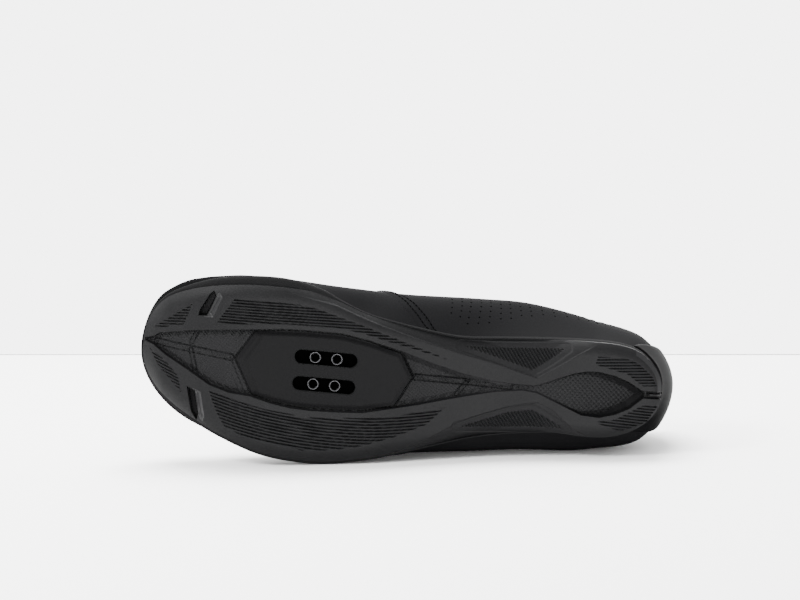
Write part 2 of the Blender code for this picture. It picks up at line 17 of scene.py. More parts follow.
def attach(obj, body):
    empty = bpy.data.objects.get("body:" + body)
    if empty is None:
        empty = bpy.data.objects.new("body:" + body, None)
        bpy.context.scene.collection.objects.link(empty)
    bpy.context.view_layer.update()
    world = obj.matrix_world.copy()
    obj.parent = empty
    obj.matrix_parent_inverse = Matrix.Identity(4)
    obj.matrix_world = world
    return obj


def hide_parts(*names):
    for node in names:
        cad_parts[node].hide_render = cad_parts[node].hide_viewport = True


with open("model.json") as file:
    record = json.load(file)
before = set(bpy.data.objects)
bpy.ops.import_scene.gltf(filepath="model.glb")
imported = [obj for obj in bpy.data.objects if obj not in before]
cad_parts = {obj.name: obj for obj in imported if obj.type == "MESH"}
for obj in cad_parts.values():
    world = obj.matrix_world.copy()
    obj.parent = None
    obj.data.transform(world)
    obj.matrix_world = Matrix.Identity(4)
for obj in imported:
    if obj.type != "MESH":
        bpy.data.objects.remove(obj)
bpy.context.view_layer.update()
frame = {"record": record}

record = frame["record"]

# Driving sizes of the shoe in millimetres, the same as in its solids
LENGTH = 281.5
BALL_WIDTH = 95.0
COLLAR_HEIGHT = 92.0
WALL = 2.0
GAP = 0.3
FEATHER_GAP = 0.45
FEATHER_INSET = 1.2
HEEL_STACK = 20.0
BALL_STACK = 10.0
ARCH_RISE = 9.0
TOE_SPRING = 24.0
HEEL_LUG = 7.5
TREAD = 3.2
RIM_SHARE = 0.95
FOOTBED_DISH = 5.5
FOOTBED_SLOPE = 3.5
FOOTBED_RIM = 4.0
INSOLE_THICKNESS = 3.0
COUNTER_THICKNESS = 1.9
TONGUE_THICKNESS = 3.5
TONGUE_RISE = 18.0
STRAP_THICKNESS = 1.6
STRAP_CROWN = 6.0
STRAP_SPAN = 38.0
STRAP_LIFT = 0.9
STRAP_EASE = 40
TONGUE_CROWN = 4.0
TONGUE_GAP = 0.6
TONGUE_LEAN = np.array((-0.55, 0.0, 0.83))

# Cleat pad and slots
PAD_LEVEL = 2.4
PAD_MIDDLE = 182.8
PAD_SIDE = -5.5
SLOT_LENGTH = 32.8
SLOT_WIDTH = 7.2
SLOT_SPACING = 14.0
SLOT_FLOOR = 7.4
BARREL_SPACING = 11.4

# Places of the solids' mounts in the shoe's own axes
MOUNT_PLACES = {
    "cleat_seat": (182.8, -5.5, 2.4),
    "heel_tread": (38.0, 13.0, 0.0),
    "ball_tread": (190.0, -38.0, 0.0),
}

# Outline of the tread, as along and side in parts of a hundred of LENGTH and BALL_WIDTH,
# and how far the rim of the plate stands out past it in multiples of RIM_SHARE
SOLE_RING = (
    (2.4, -0.7, 0.3), (2.9, 7.4, 0.3), (4.4, 14.2, 0.3), (7.1, 20.3, 0.3),
    (10.6, 23.2, 0.3), (16.0, 23.7, 0.3), (24.5, 22.5, 0.3), (31.9, 20.8, 0.3),
    (39.7, 19.2, 0.3), (46.1, 21.1, 0.3), (53.2, 24.8, 0.3), (58.5, 28.4, 0.3),
    (63.1, 33.4, 0.7), (67.4, 37.2, 2.4), (73.4, 38.6, 4.6), (79.8, 38.3, 4.6),
    (86.2, 35.9, 3.8), (91.7, 31.6, 2.3), (96.0, 25.2, 1.2), (98.7, 14.6, 0.9),
    (99.8, 1.0, 0.8), (99.3, -10.7, 0.8), (97.3, -21.5, 1.0), (94.0, -30.3, 1.3),
    (89.4, -38.1, 1.7), (83.7, -45.7, 1.7), (76.2, -53.0, 1.7), (69.1, -55.6, 1.7),
    (63.1, -55.0, 1.7), (56.7, -51.8, 1.4), (51.4, -48.2, 1.0), (44.0, -42.0, 0.6),
    (37.2, -36.1, 0.3), (30.1, -31.6, 0.3), (22.0, -28.5, 0.3), (15.2, -28.7, 0.3),
    (11.0, -27.3, 0.3), (7.1, -22.9, 0.3), (4.1, -15.6, 0.3), (2.7, -7.9, 0.3),
)

# Levels along the sole in parts of a hundred of LENGTH, then shares of ARCH_RISE,
# TOE_SPRING, HEEL_STACK, BALL_STACK, the height of the heel lug and the footbed's dish
SOLE_PROFILE = np.array((
    (0.0, 0.00, 0.00, 1.00, 0.00, 1.00, 1.00),
    (5.0, 0.00, 0.00, 1.00, 0.00, 1.00, 1.00),
    (17.0, 0.00, 0.00, 1.00, 0.00, 0.95, 1.00),
    (25.0, 0.45, 0.00, 0.82, 0.08, 0.25, 1.00),
    (36.0, 1.00, 0.00, 0.45, 0.35, -0.20, 0.85),
    (48.0, 0.55, 0.00, 0.12, 0.85, -0.10, 0.50),
    (57.0, 0.00, 0.00, 0.00, 1.00, 0.00, 0.30),
    (74.0, 0.00, 0.00, 0.00, 1.00, 0.00, 0.30),
    (81.0, 0.00, 0.10, 0.00, 1.00, 0.00, 0.30),
    (89.0, 0.00, 0.38, 0.00, 0.97, 0.00, 0.30),
    (95.0, 0.00, 0.70, 0.00, 0.92, 0.00, 0.25),
    (100.0, 0.00, 1.00, 0.00, 0.86, 0.00, 0.20),
))

# Ribs of the upper: place on SOLE_RING, then widest point, shoulder and edge of the opening
UPPER_RIBS = (
    (0.0, (0.0, -0.8, 46), (1.4, 0.0, 80), (4.0, 0.0, 100)),
    (3.0, (5.3, 23.8, 48), (6.2, 23.0, 76), (8.4, 18.5, 91)),
    (5.0, (16.0, 31.8, 50), (16.3, 30.6, 69), (16.7, 26.0, 79)),
    (6.5, (27.6, 37.0, 51), (27.6, 35.2, 72), (27.6, 29.0, 84)),
    (8.0, (37.2, 37.4, 48), (37.6, 33.2, 80), (36.2, 21.4, 100)),
    (10.0, (51.4, 37.6, 39), (50.7, 31.0, 73), (48.2, 16.8, 92)),
    (12.0, (62.0, 39.6, 30), (61.0, 30.6, 64), (58.0, 15.0, 77)),
    (14.0, (73.4, 41.2, 24), (72.0, 30.0, 53), (66.0, 12.5, 64)),
    (16.0, (86.2, 39.8, 25), (83.0, 25.5, 49), (69.5, 8.5, 59)),
    (18.0, (96.2, 27.8, 35), (90.7, 16.5, 51), (71.0, 3.5, 57)),
    (20.0, (99.9, 1.0, 39), (94.2, 0.0, 55), (71.2, -1.5, 56.5)),
    (22.0, (97.9, -21.5, 36), (91.5, -14.5, 51), (70.8, -6.5, 56.5)),
    (24.0, (90.4, -39.8, 28), (85.0, -25.0, 46), (69.5, -11.5, 58)),
    (26.0, (76.2, -53.2, 23), (73.7, -39.0, 46), (66.3, -17.0, 62)),
    (28.0, (63.1, -54.0, 27), (61.7, -45.0, 55), (58.5, -20.5, 74)),
    (30.0, (51.4, -50.8, 32), (50.7, -46.5, 66), (48.2, -21.5, 90)),
    (32.0, (37.2, -45.8, 31), (37.6, -42.5, 70), (35.8, -23.5, 99)),
    (33.5, (27.6, -42.0, 30), (27.6, -39.5, 64), (27.6, -32.0, 81)),
    (35.0, (15.6, -39.0, 29), (16.2, -36.2, 62), (16.7, -29.5, 76)),
    (37.0, (4.7, -29.8, 31), (5.8, -27.4, 70), (8.4, -20.8, 90)),
)

# Plan shapes on the underside, as along and side in parts of a hundred of the two sizes
FRONT_OPENING = (
    (99.4, 2.2), (97.6, 4.0), (96.7, 6.0), (90.5, 9.9), (79.2, 14.1), (73.6, 16.0), (68.9, 16.5),
    (62.3, 16.5), (57.2, 14.0), (51.0, 9.4), (45.6, 4.4), (39.7, -0.2), (33.3, -3.1),
    (26.2, -3.7), (26.2, -5.7), (33.2, -9.1), (42.5, -16.0), (47.2, -19.8), (51.6, -22.6),
    (57.5, -26.4), (62.5, -27.3), (67.5, -27.7), (70.9, -27.2), (74.3, -25.7),
    (78.4, -22.8), (82.4, -22.1), (86.2, -19.2), (90.5, -12.4), (95.1, -5.8), (97.6, -1.2), (99.4, 0.4),
)
CLEAT_PAD = (
    (78.4, 13.4), (81.8, -2.5), (78.2, -21.8), (74.2, -24.6), (70.8, -26.1), (67.4, -26.6),
    (62.5, -26.2), (57.6, -25.3), (51.6, -21.4), (48.6, -4.4), (51.1, 8.2), (57.3, 12.8),
    (62.3, 15.3), (68.8, 15.3), (73.5, 14.8),
)
HEEL_LEAF = (
    (29.5, -6.3), (29.5, -3.4), (26.0, -3.2), (23.9, -0.7), (21.8, 2.2), (18.7, 6.0),
    (16.6, 7.6), (14.4, 7.9), (11.4, 6.5), (8.7, 3.8), (5.5, -1.4), (5.5, -3.4), (8.2, -10.8), (10.7, -14.7),
    (13.6, -17.2), (16.9, -16.8), (21.1, -12.0), (25.5, -7.2),
)
HEEL_SLIT = ((7.5, -0.2), (1.0, -0.2), (1.0, -4.4), (7.5, -4.4))
MEDIAL_WINDOW = ((40.2, 14.9), (34.5, 15.2), (20.6, 18.9), (23.5, 11.4), (26.6, 4.8), (31.8, 8.7))
LATERAL_WINDOW = (
    (39.6, -30.4), (35.1, -25.1), (30.4, -19.3), (26.0, -16.6), (22.8, -20.5), (19.6, -25.4),
    (26.0, -26.6), (33.3, -29.0),
)
MEDIAL_PORT = ((86.8, 33.2), (86.2, 30.3), (87.7, 18.8), (89.4, 18.4), (89.2, 21.6), (87.6, 30.6))
LATERAL_PORT = ((90.5, -21.4), (88.9, -22.9), (87.8, -35.9), (88.1, -40.0), (89.3, -34.9))

# Large steps of the underside: what the plate's pocket holds of the tread, the leaf's depth,
# the rounded edge, the ports' depth and slant, and the width of the painted highlight band at the heel's
# smooth edge
BACKING = 3.4
LEAF_DEEPEST = 8.0
EDGE_TURN = 7.5
EDGE_RISE = 2.6
PORT_DEPTH = 5.2
PORT_LEAN = np.array((3.2, 0.5))
HEEL_PAINTED_HIGHLIGHT = 2.4

# Patches of grooves: outline, slope of the grooves, bow about a place along the shoe,
# pitch, and period of the diagonal bands where they run deeper
GROOVES = {
    "medial_wing": (
        ((86.0, 14.6), (82.8, 29.8), (79.8, 30.4), (70.5, 30.1), (66.9, 28.5), (61.6, 24.2),
         (57.6, 20.9), (41.6, 6.0), (58.7, 17.5), (63.6, 19.3), (73.2, 18.7)),
        -0.026, 0.0, 0.0, 1.50, 19.0,
    ),
    "lateral_wing": (
        ((86.2, -21.6), (85.5, -26.9), (84.4, -33.7), (82.6, -41.3), (79.5, -44.7),
         (75.6, -47.2), (68.0, -49.9), (62.3, -48.3), (56.8, -44.4), (51.0, -38.3),
         (45.5, -30.6), (42.0, -19.8), (51.7, -27.1), (57.3, -29.1), (68.0, -31.3),
         (76.2, -28.6), (81.1, -25.7)),
        0.0, 0.0019, 176.0, 1.62, 19.0,
    ),
    "toe_medial": (((98.2, 8.1), (90.6, 24.8), (91.9, 12.4), (96.3, 8.9)), -0.096, 0.0, 0.0, 1.5, 8.0),
    "toe_lateral": (
        ((98.4, -2.9), (96.3, -12.3), (91.3, -25.8), (92.3, -16.1), (94.8, -9.1)),
        0.354, 0.0, 0.0, 1.5, 8.0,
    ),
    "heel_medial": (
        ((14.8, 16.4), (9.9, 16.9), (7.2, 14.6), (4.4, 7.7), (3.5, 2.9), (6.1, 2.2),
         (9.1, 8.0), (14.1, 11.1), (15.2, 11.8)),
        -0.096, 0.0, 0.0, 1.55, 14.0,
    ),
    "heel_lateral": (
        ((14.6, -19.8), (10.7, -17.5), (5.9, -8.4), (2.9, -7.5), (4.7, -17.5), (9.4, -23.8)),
        0.03, 0.0, 0.0, 1.55, 14.0,
    ),
}
GROOVE_WIDTH = 0.56
GROOVE_DEPTH = 1.2

# Creases of the two wings, from the ball back to the crossing and out to the heel's edge:
# the outer facet falls away beyond each line
MEDIAL_CREASE = (
    (74.0, 36.5), (68.9, 33.7), (64.0, 31.2), (59.3, 26.2), (54.7, 21.8), (48.6, 16.4),
    (40.3, 10.2), (33.7, 6.4), (25.6, 0.7), (21.8, 8.4), (18.2, 16.5), (14.5, 23.5),
)
LATERAL_CREASE = (
    (54.0, -51.0), (50.7, -47.3), (44.2, -37.7), (39.8, -28.6), (35.2, -22.3), (30.5, -16.8),
    (27.1, -13.7), (25.1, -12.8), (22.6, -15.4), (18.3, -25.3), (16.0, -28.6),
)

# Ribs on the floor of the front opening: start, end, half width and height
PANEL_RIBS = (
    ((97.0, 0.8), (82.6, -2.6), 1.3, 0.5),
    ((89.3, 10.3), (90.3, 3.0), 0.7, 0.5),
    ((90.3, -1.0), (88.9, -15.5), 0.7, 0.5),
    ((48.2, -4.6), (30.5, -5.3), 1.2, 0.5),
    ((39.3, 0.2), (38.3, -3.9), 0.7, 0.45),
    ((38.6, -5.2), (40.2, -12.3), 0.7, 0.45),
)
PAD_FRONT = ((79.9, 13.6), (83.2, -2.5), (79.9, -22.0))

# Finishes: colour, roughness, spread of the colour, metal or not, shine, and the grain as rows
# of kind, size in millimetres, strength, and depth in millimetres
FINISHES = {
    "tread_rubber": (
        (0.0054, 0.0054, 0.0057), 0.50, 0.08, 0.0, 0.06,
        (("noise", 0.45, 0.55, 0.09), ("noise", 0.9, 0.5, 0.12)),
    ),
    # darker panel finish: the cleat pad's own tone, and painted shade where it lies on the leaf's walls
    "tread_panel_and_painted_shade": ((0.0036, 0.0036, 0.0038), 0.50, 0.06, 0.0, 0.028, (("noise", 0.4, 0.2, 0.04),)),
    # lighter facet colour: a painted highlight on the ports' bevels and the heel's medial edge; its higher
    # shine is real gloss
    "tread_facet_painted_highlight": ((0.009, 0.009, 0.0095), 0.40, 0.06, 0.0, 0.13, (("noise", 0.5, 0.2, 0.04),)),
    "sole_nylon": ((0.0062, 0.0062, 0.0064), 0.70, 0.06, 0.0, 0.006, (("noise", 0.5, 0.2, 0.04),)),
    "upper_leather": (
        (0.0044, 0.0044, 0.0047), 0.60, 0.08, 0.0, 0.007,
        (("pebble", 0.9, 0.10, 0.04), ("noise", 0.3, 0.10, 0.02)),
    ),
    "moulded_plastic": (
        (0.0021, 0.0021, 0.0023), 0.50, 0.06, 0.0, 0.012, (("noise", 0.4, 0.15, 0.03),),
    ),
    "tongue_cloth": ((0.0050, 0.0050, 0.0053), 0.85, 0.12, 0.0, 0.06, (("pebble", 1.2, 0.6, 0.3),)),
    "strap_cloth": ((0.0046, 0.0046, 0.0049), 0.60, 0.12, 0.0, 0.06, (("pebble", 0.7, 0.3, 0.1),)),
    "insole_foam": ((0.010, 0.010, 0.0105), 0.90, 0.12, 0.0, 0.06, (("pebble", 0.8, 0.4, 0.15),)),
    "cleat_steel": ((0.020, 0.020, 0.021), 0.28, 0.12, 1.0, 0.5, (("noise", 0.6, 0.1, 0.02),)),
    "thread": ((0.0012, 0.0012, 0.0013), 0.60, 0.12, 0.0, 0.0, (("noise", 0.3, 0.3, 0.05),)),
}
CLOUD_SCALE = 38.0
ROUGHNESS_SPREAD = 0.08

# Fineness of the meshes: millimetres along the tread, and rows and steps across
CELL_ALONG = 0.30
ROWS_ACROSS = 270
UPPER_RIB_COUNT = 320
UPPER_STEPS = 80


def smooth(t):
    t = np.clip(t, 0.0, 1.0)
    return t * t * (3 - 2 * t)


def shares(points):
    """Plan points in millimetres from parts of a hundred of the two sizes."""
    return np.array([(p[0] * LENGTH / 100, p[1] * BALL_WIDTH / 100) for p in points])


def profile(x, column):
    """Level curve along the sole through its rows, level where two rows are level."""
    xs, ys = SOLE_PROFILE[:, 0] * LENGTH / 100, SOLE_PROFILE[:, column]
    steps, rises = np.diff(xs), np.diff(ys)
    slopes = rises / steps
    tangents = np.zeros(len(xs))
    both = slopes[:-1] * slopes[1:]
    total = slopes[:-1] + slopes[1:]
    tangents[1:-1] = np.where(both > 0, 2 * both / np.where(both > 0, total, 1), 0)
    x = np.clip(x, xs[0], xs[-1])
    i = np.clip(np.searchsorted(xs, x) - 1, 0, len(steps) - 1)
    t = (x - xs[i]) / steps[i]
    return (
        (2 * t**3 - 3 * t**2 + 1) * ys[i] + (t**3 - 2 * t**2 + t) * steps[i] * tangents[i]
        + (3 * t**2 - 2 * t**3) * ys[i + 1] + (t**3 - t**2) * steps[i] * tangents[i + 1]
    )


def ground_level(x):
    return ARCH_RISE * profile(x, 1) + TOE_SPRING * profile(x, 2)


def top_level(x):
    return ground_level(x) + HEEL_STACK * profile(x, 3) + BALL_STACK * profile(x, 4)


def footbed_level(x):
    return top_level(x) - FOOTBED_DISH * profile(x, 6)


def tread_top(x):
    return ground_level(x) + TREAD + (HEEL_LUG - TREAD) * profile(x, 5)


def round_curve(places, rows, place, period):
    """Points on a closed smooth curve through rows, each at its own place along the round."""
    rows, places = np.asarray(rows, float), np.asarray(places, float)
    count = len(rows)
    place = np.mod(np.atleast_1d(place), period)
    i = np.searchsorted(places, place, side="right") - 1

    def row(j):
        return rows[j % count], (places[j % count] + period * np.floor_divide(j, count))[:, None]

    (p0, u0), (p1, u1), (p2, u2), (p3, u3) = row(i - 1), row(i), row(i + 1), row(i + 2)
    t = (place[:, None] - u1) / (u2 - u1)
    m1 = (p2 - p0) / (u2 - u0) * (u2 - u1)
    m2 = (p3 - p1) / (u3 - u1) * (u2 - u1)
    return (
        (2 * t**3 - 3 * t**2 + 1) * p1 + (t**3 - 2 * t**2 + t) * m1
        + (3 * t**2 - 2 * t**3) * p2 + (t**3 - t**2) * m2
    )


RING_COUNT = len(SOLE_RING)
RIB_PLACES = [row[0] for row in UPPER_RIBS]
RING_SIZE = np.array((LENGTH, BALL_WIDTH)) / 100


def ring_points(places, outward=0.0, rim=True):
    """Plan points of the sole's edge, moved outward, with or without the plate's rim."""
    spots = range(RING_COUNT)
    here = round_curve(spots, SOLE_RING, places, RING_COUNT)
    ahead = round_curve(spots, SOLE_RING, np.asarray(places) + 0.05, RING_COUNT)
    behind = round_curve(spots, SOLE_RING, np.asarray(places) - 0.05, RING_COUNT)
    run = (ahead - behind)[:, :2] * RING_SIZE
    normal = np.stack((-run[:, 1], run[:, 0]), 1) / np.linalg.norm(run, axis=1)[:, None]
    stand = outward + (here[:, 2] * RIM_SHARE if rim else 0.0)
    return here[:, :2] * RING_SIZE + normal * np.reshape(stand * np.ones(len(here)), (-1, 1))


def rib_points(places, ups):
    """Outer face of the upper at places round the shoe, up from 0 at the sole to 1 at the edge."""
    size = np.array((LENGTH, BALL_WIDTH, COLLAR_HEIGHT)) / 100
    foot = ring_points(places, -FEATHER_INSET)
    marks = [np.column_stack((foot, top_level(foot[:, 0]) + FEATHER_GAP))]
    for column in (1, 2, 3):
        rows = [row[column] for row in UPPER_RIBS]
        marks.append(round_curve(RIB_PLACES, rows, places, RING_COUNT) * size)
    low = marks[0] * 1.6 - marks[1] * 0.6
    high = marks[3] + (marks[3] - marks[2]) * 0.7
    marks = np.stack([low, *marks, high])
    spot = np.clip(ups, 0.0, 1.0) * 3
    i = np.minimum(spot.astype(int), 2)
    t = (spot - i)[:, None]
    k = np.arange(len(i))
    p0, p1, p2, p3 = (marks[i + n, k] for n in range(4))
    return 0.5 * (
        2 * p1 + (p2 - p0) * t + (2 * p0 - 5 * p1 + 4 * p2 - p3) * t**2
        + (3 * p1 - p0 - 3 * p2 + p3) * t**3
    )


def shell_points(places, ups, depth):
    """Points at a depth inside the upper's outer face, or outside it where depth is negative."""
    places, ups = np.asarray(places, float), np.asarray(ups, float)
    around = rib_points(places + 0.1, ups) - rib_points(places - 0.1, ups)
    rise = rib_points(places, np.minimum(ups + 0.02, 1)) - rib_points(places, np.maximum(ups - 0.02, 0))
    normal = np.cross(around, rise)
    foot = ups < 0.001
    normal[foot, 2] = 0.0
    normal /= np.linalg.norm(normal, axis=1)[:, None]
    points = rib_points(places, ups) + normal * np.reshape(depth * np.ones(len(ups)), (-1, 1))
    level = top_level(points[:, 0]) + FEATHER_GAP
    points[:, 2] = np.where(foot, level, np.maximum(points[:, 2], level))
    return points


def shoe_to_world():
    """The turn and shift that lay the shoe where the mounts say."""
    here = [Vector(MOUNT_PLACES[name]) / 1000 for name in MOUNT_PLACES]
    spots = {m["name"]: Vector(m["pos_m"]) for m in record["mounts"]}
    there = [spots[name] for name in MOUNT_PLACES]

    def axes(points):
        first = (points[1] - points[0]).normalized()
        third = first.cross(points[2] - points[0]).normalized()
        return Matrix((first, third.cross(first), third)).transposed()

    turn = axes(there) @ axes(here).transposed()
    return turn, there[0] - turn @ here[0]


TURN, SHIFT = shoe_to_world()
TURN_ROWS = np.array([list(row) for row in TURN])
SHIFT_ROW = np.array(list(SHIFT))


def to_world(points):
    return np.asarray(points) / 1000 @ TURN_ROWS.T + SHIFT_ROW


def grid_quads(rows, columns, closed_rows=False, closed_columns=False):
    """Corner numbers of the quads of a grid of points."""
    i = np.arange(rows if closed_rows else rows - 1)
    j = np.arange(columns if closed_columns else columns - 1)
    a, b = np.meshgrid(i, j, indexing="ij")
    a, b = a.ravel(), b.ravel()
    c, d = (a + 1) % rows, (b + 1) % columns
    return np.stack((a * columns + b, c * columns + b, c * columns + d, a * columns + d), 1)


def capped_tube(rows, sides, base=0):
    """Faces of a tube with both ends closed, its points counted from base."""
    faces = (grid_quads(rows, sides, closed_columns=True) + base).tolist()
    return faces + [[base + end * sides + k for k in range(sides)] for end in (0, rows - 1)]


def lofted(loops):
    """Points and faces of a closed body, from a loop of points at each station."""
    rows, count = loops.shape[:2]
    return loops.reshape(-1, 3), capped_tube(rows, count)


def sheet(outer, inner):
    """Points and faces of a closed sheet between two grids of points, the outer grid first."""
    rows, columns = outer.shape[:2]
    count = rows * columns
    quads = grid_quads(rows, columns)
    parts = [quads, (quads + count)[:, ::-1]]
    i = np.arange(rows - 1) * columns
    for a in (i, i + columns - 1):
        parts.append(np.stack((a, count + a, count + a + columns, a + columns), 1))
    j = np.arange(columns - 1)
    for a in (j, j + (rows - 1) * columns):
        parts.append(np.stack((a, a + 1, count + a + 1, count + a), 1))
    return np.vstack((outer.reshape(-1, 3), inner.reshape(-1, 3))), np.vstack(parts).tolist()


def piece(name, points, quads, made, slot, replaced=(), sharp=50.0):
    """One visible piece from points in the shoe's axes, its faces turned outward."""
    mesh = bpy.data.meshes.new(name)
    world = to_world(points)
    mesh.from_pydata(world.tolist(), [], quads if isinstance(quads, list) else quads.tolist())
    mesh.update()
    shape = bmesh.new()
    shape.from_mesh(mesh)
    bmesh.ops.remove_doubles(shape, verts=shape.verts, dist=2e-7)
    bmesh.ops.recalc_face_normals(shape, faces=shape.faces)
    shape.to_mesh(mesh)
    shape.free()
    mesh.materials.append(made)
    mesh.shade_smooth()
    mesh.set_sharp_from_angle(angle=math.radians(sharp))
    obj = bpy.data.objects.new(name, mesh)
    bpy.context.scene.collection.objects.link(obj)
    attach(obj, "root")
    if replaced:
        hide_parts(*replaced)
    return obj


def node(tree, kind, place=(0, 0), **values):
    made = tree.nodes.new(kind)
    made.location = place
    for key, value in values.items():
        if key in made.inputs:
            made.inputs[key].default_value = value
        else:
            setattr(made, key, value)
    return made


def finish(name):
    """Surface of a row of FINISHES, with soft patches of colour and its grain as bump."""
    colour, roughness, spread, metallic, specular, grain = FINISHES[name]
    made = bpy.data.materials.new(name)
    made.use_nodes = True
    tree = made.node_tree
    shader = tree.nodes["Principled BSDF"]
    shader.inputs["Metallic"].default_value = metallic
    shader.inputs["Specular IOR Level"].default_value = specular
    place = node(tree, "ShaderNodeTexCoord", (-1200, 0))
    cloud = node(tree, "ShaderNodeTexNoise", (-900, 200), Scale=CLOUD_SCALE, Detail=4.0, Roughness=0.6)
    tree.links.new(place.outputs["Object"], cloud.inputs["Vector"])
    ramp = node(tree, "ShaderNodeValToRGB", (-650, 200))
    ramp.color_ramp.elements[0].position = 0.3
    ramp.color_ramp.elements[1].position = 0.72
    ramp.color_ramp.elements[0].color = (*[c * (1 - spread) for c in colour], 1)
    ramp.color_ramp.elements[1].color = (*[c * (1 + spread) for c in colour], 1)
    tree.links.new(cloud.outputs["Fac"], ramp.inputs["Fac"])
    tree.links.new(ramp.outputs["Color"], shader.inputs["Base Color"])
    rough = node(tree, "ShaderNodeMapRange", (-650, -80))
    rough.inputs["To Min"].default_value = max(roughness - ROUGHNESS_SPREAD, 0.05)
    rough.inputs["To Max"].default_value = min(roughness + ROUGHNESS_SPREAD, 1.0)
    tree.links.new(cloud.outputs["Fac"], rough.inputs["Value"])
    tree.links.new(rough.outputs["Result"], shader.inputs["Roughness"])
    last = None
    for k, (kind, size, strength, depth) in enumerate(grain):
        height = (-400, -300 - 220 * k)
        if kind == "pebble":
            source = node(tree, "ShaderNodeTexVoronoi", height, Scale=1000.0 / size, Randomness=0.9)
            out = source.outputs["Distance"]
        else:
            source = node(tree, "ShaderNodeTexNoise", height, Scale=1000.0 / size, Detail=2.0)
            out = source.outputs["Fac"]
        tree.links.new(place.outputs["Object"], source.inputs["Vector"])
        low = (-150, -300 - 220 * k)
        bump = node(tree, "ShaderNodeBump", low, Strength=strength, Distance=depth / 1000)
        tree.links.new(out, bump.inputs["Height"])
        if last is not None:
            tree.links.new(last.outputs["Normal"], bump.inputs["Normal"])
        last = bump
    tree.links.new(last.outputs["Normal"], shader.inputs["Normal"])
    return made


def signed_distance(points, x, y):
    """Distance to a closed plan outline, negative inside it."""
    best = np.full(x.shape, 1e9)
    inside = np.zeros(x.shape, bool)
    for (ax, ay), (bx, by) in zip(points, np.roll(points, -1, axis=0)):
        dx, dy = bx - ax, by - ay
        t = np.clip(((x - ax) * dx + (y - ay) * dy) / (dx * dx + dy * dy + 1e-12), 0, 1)
        best = np.minimum(best, (x - ax - t * dx) ** 2 + (y - ay - t * dy) ** 2)
        if dy != 0:
            inside ^= ((ay > y) != (by > y)) & (x < (bx - ax) * (y - ay) / (by - ay) + ax)
    return np.where(inside, -1.0, 1.0) * np.sqrt(best)


def line_distance(points, x, y):
    """Distance to an open line, and on which side of it a point lies."""
    best = np.full(x.shape, 1e9)
    side = np.zeros(x.shape)
    for (ax, ay), (bx, by) in zip(points[:-1], points[1:]):
        dx, dy = bx - ax, by - ay
        t = np.clip(((x - ax) * dx + (y - ay) * dy) / (dx * dx + dy * dy + 1e-12), 0, 1)
        d = (x - ax - t * dx) ** 2 + (y - ay - t * dy) ** 2
        nearer = d < best
        best = np.where(nearer, d, best)
        side = np.where(nearer, np.sign(dx * (y - ay) - dy * (x - ax)), side)
    return np.sqrt(best), side


def inside_share(distance, ramp):
    """1 well inside an outline and 0 outside it, with a straight ramp between."""
    return np.clip(-distance / ramp, 0, 1)


def blend(low, high, share):
    return low * (1 - share) + high * share


def slot_distance(x, y, side):
    """Distance to the slot on one side of the pad, negative inside it."""
    along = np.maximum(np.abs(x - PAD_MIDDLE) - (SLOT_LENGTH - SLOT_WIDTH) / 2, 0)
    return np.hypot(along, y - PAD_SIDE - side * SLOT_SPACING / 2) - SLOT_WIDTH / 2


def wave(turns):
    """Even ripple between 0 and 1, once a turn."""
    return 0.5 + 0.5 * np.sin(2 * math.pi * turns)


def ridge(distance, half):
    """1 on a line, falling evenly to 0 at half the ridge's width."""
    return np.clip(1 - np.abs(distance) / half, 0, 1)


def weave(x, y, pitch, turn):
    """Little raised diamonds of a woven texture, from 0 to 1."""
    a = x * math.cos(turn) + y * math.sin(turn)
    b = -x * math.sin(turn) + y * math.cos(turn)
    return wave(a / pitch) * wave(b / pitch)


def groove_depth(x, y):
    """Depth of the fine grooves of every patch."""
    total = np.zeros(x.shape)
    for outline, slope, bow, about, pitch, period in GROOVES.values():
        share = inside_share(signed_distance(shares(outline), x, y), 0.5)
        line = y - slope * x - bow * (x - about) ** 2
        phase = np.abs(np.mod(line / pitch, 1.0) - 0.5) * pitch
        cut = smooth((GROOVE_WIDTH / 2 - phase) / 0.34 + 0.5)
        band = smooth(1.5 * np.sin(2 * math.pi * (x - 1.25 * y) / period) + 0.5)
        total = np.maximum(total, share * cut * GROOVE_DEPTH * (0.75 + 0.25 * band))
    return total


def wing_fall(x, y):
    """How far the outer facets of the wings fall away beyond their creases."""
    total = np.zeros(x.shape)
    for crease, outer in ((MEDIAL_CREASE, -1), (LATERAL_CREASE, 1)):
        line = shares(crease)
        distance, side = line_distance(line, x, y)
        fall = np.minimum(0.35 * smooth(distance / 0.7) + distance * 0.24, 2.6)
        fall = fall * smooth((line[0, 0] - x) / 26) * smooth((x - line[-1, 0]) / 9)
        line_cut = 0.5 * ridge(distance, 0.5) * (outer > 0)
        total = np.maximum(total, np.where(side == outer, fall, 0) + line_cut)
    return total


def panel_level(x, y, opening):
    """Floor of the front opening: fine texture, ribs, and ticks along the wings."""
    full = tread_top(x) - ground_level(x)
    deep = np.maximum(0.9, full * smooth((x - 70) / 55))
    level = ground_level(x) + deep + 0.2 - 0.3 * weave(x, y, 1.4, 0.6)
    border = inside_share(opening + 1.0, 0.3) * np.clip((opening + 3.2) / 0.3, 0, 1)
    level = level - 0.35 * border * wave((x - 0.8 * y) / 1.6)
    moat = ridge(opening + 1.4, 1.3) * smooth((-1.5 - y) / 2.0) * smooth((x - 212) / 10)
    level = level + 0.8 * moat
    for start, end, half, high in PANEL_RIBS:
        run = shares((start, end))
        away, _ = line_distance(run, x, y)
        along = (x - run[0, 0]) + 0.2 * y
        notch = 0.65 + 0.35 * np.sin(2 * math.pi * along / 1.5)
        level = level - high * notch * np.clip((half - away) / 0.3 + 0.5, 0, 1)
        level = level + 0.55 * ridge(away - half - 0.4, 0.4)
    front, _ = line_distance(shares(PAD_FRONT), x, y)
    level = level - 0.55 * np.clip((1.5 - front) / 0.7, 0, 1)
    return level


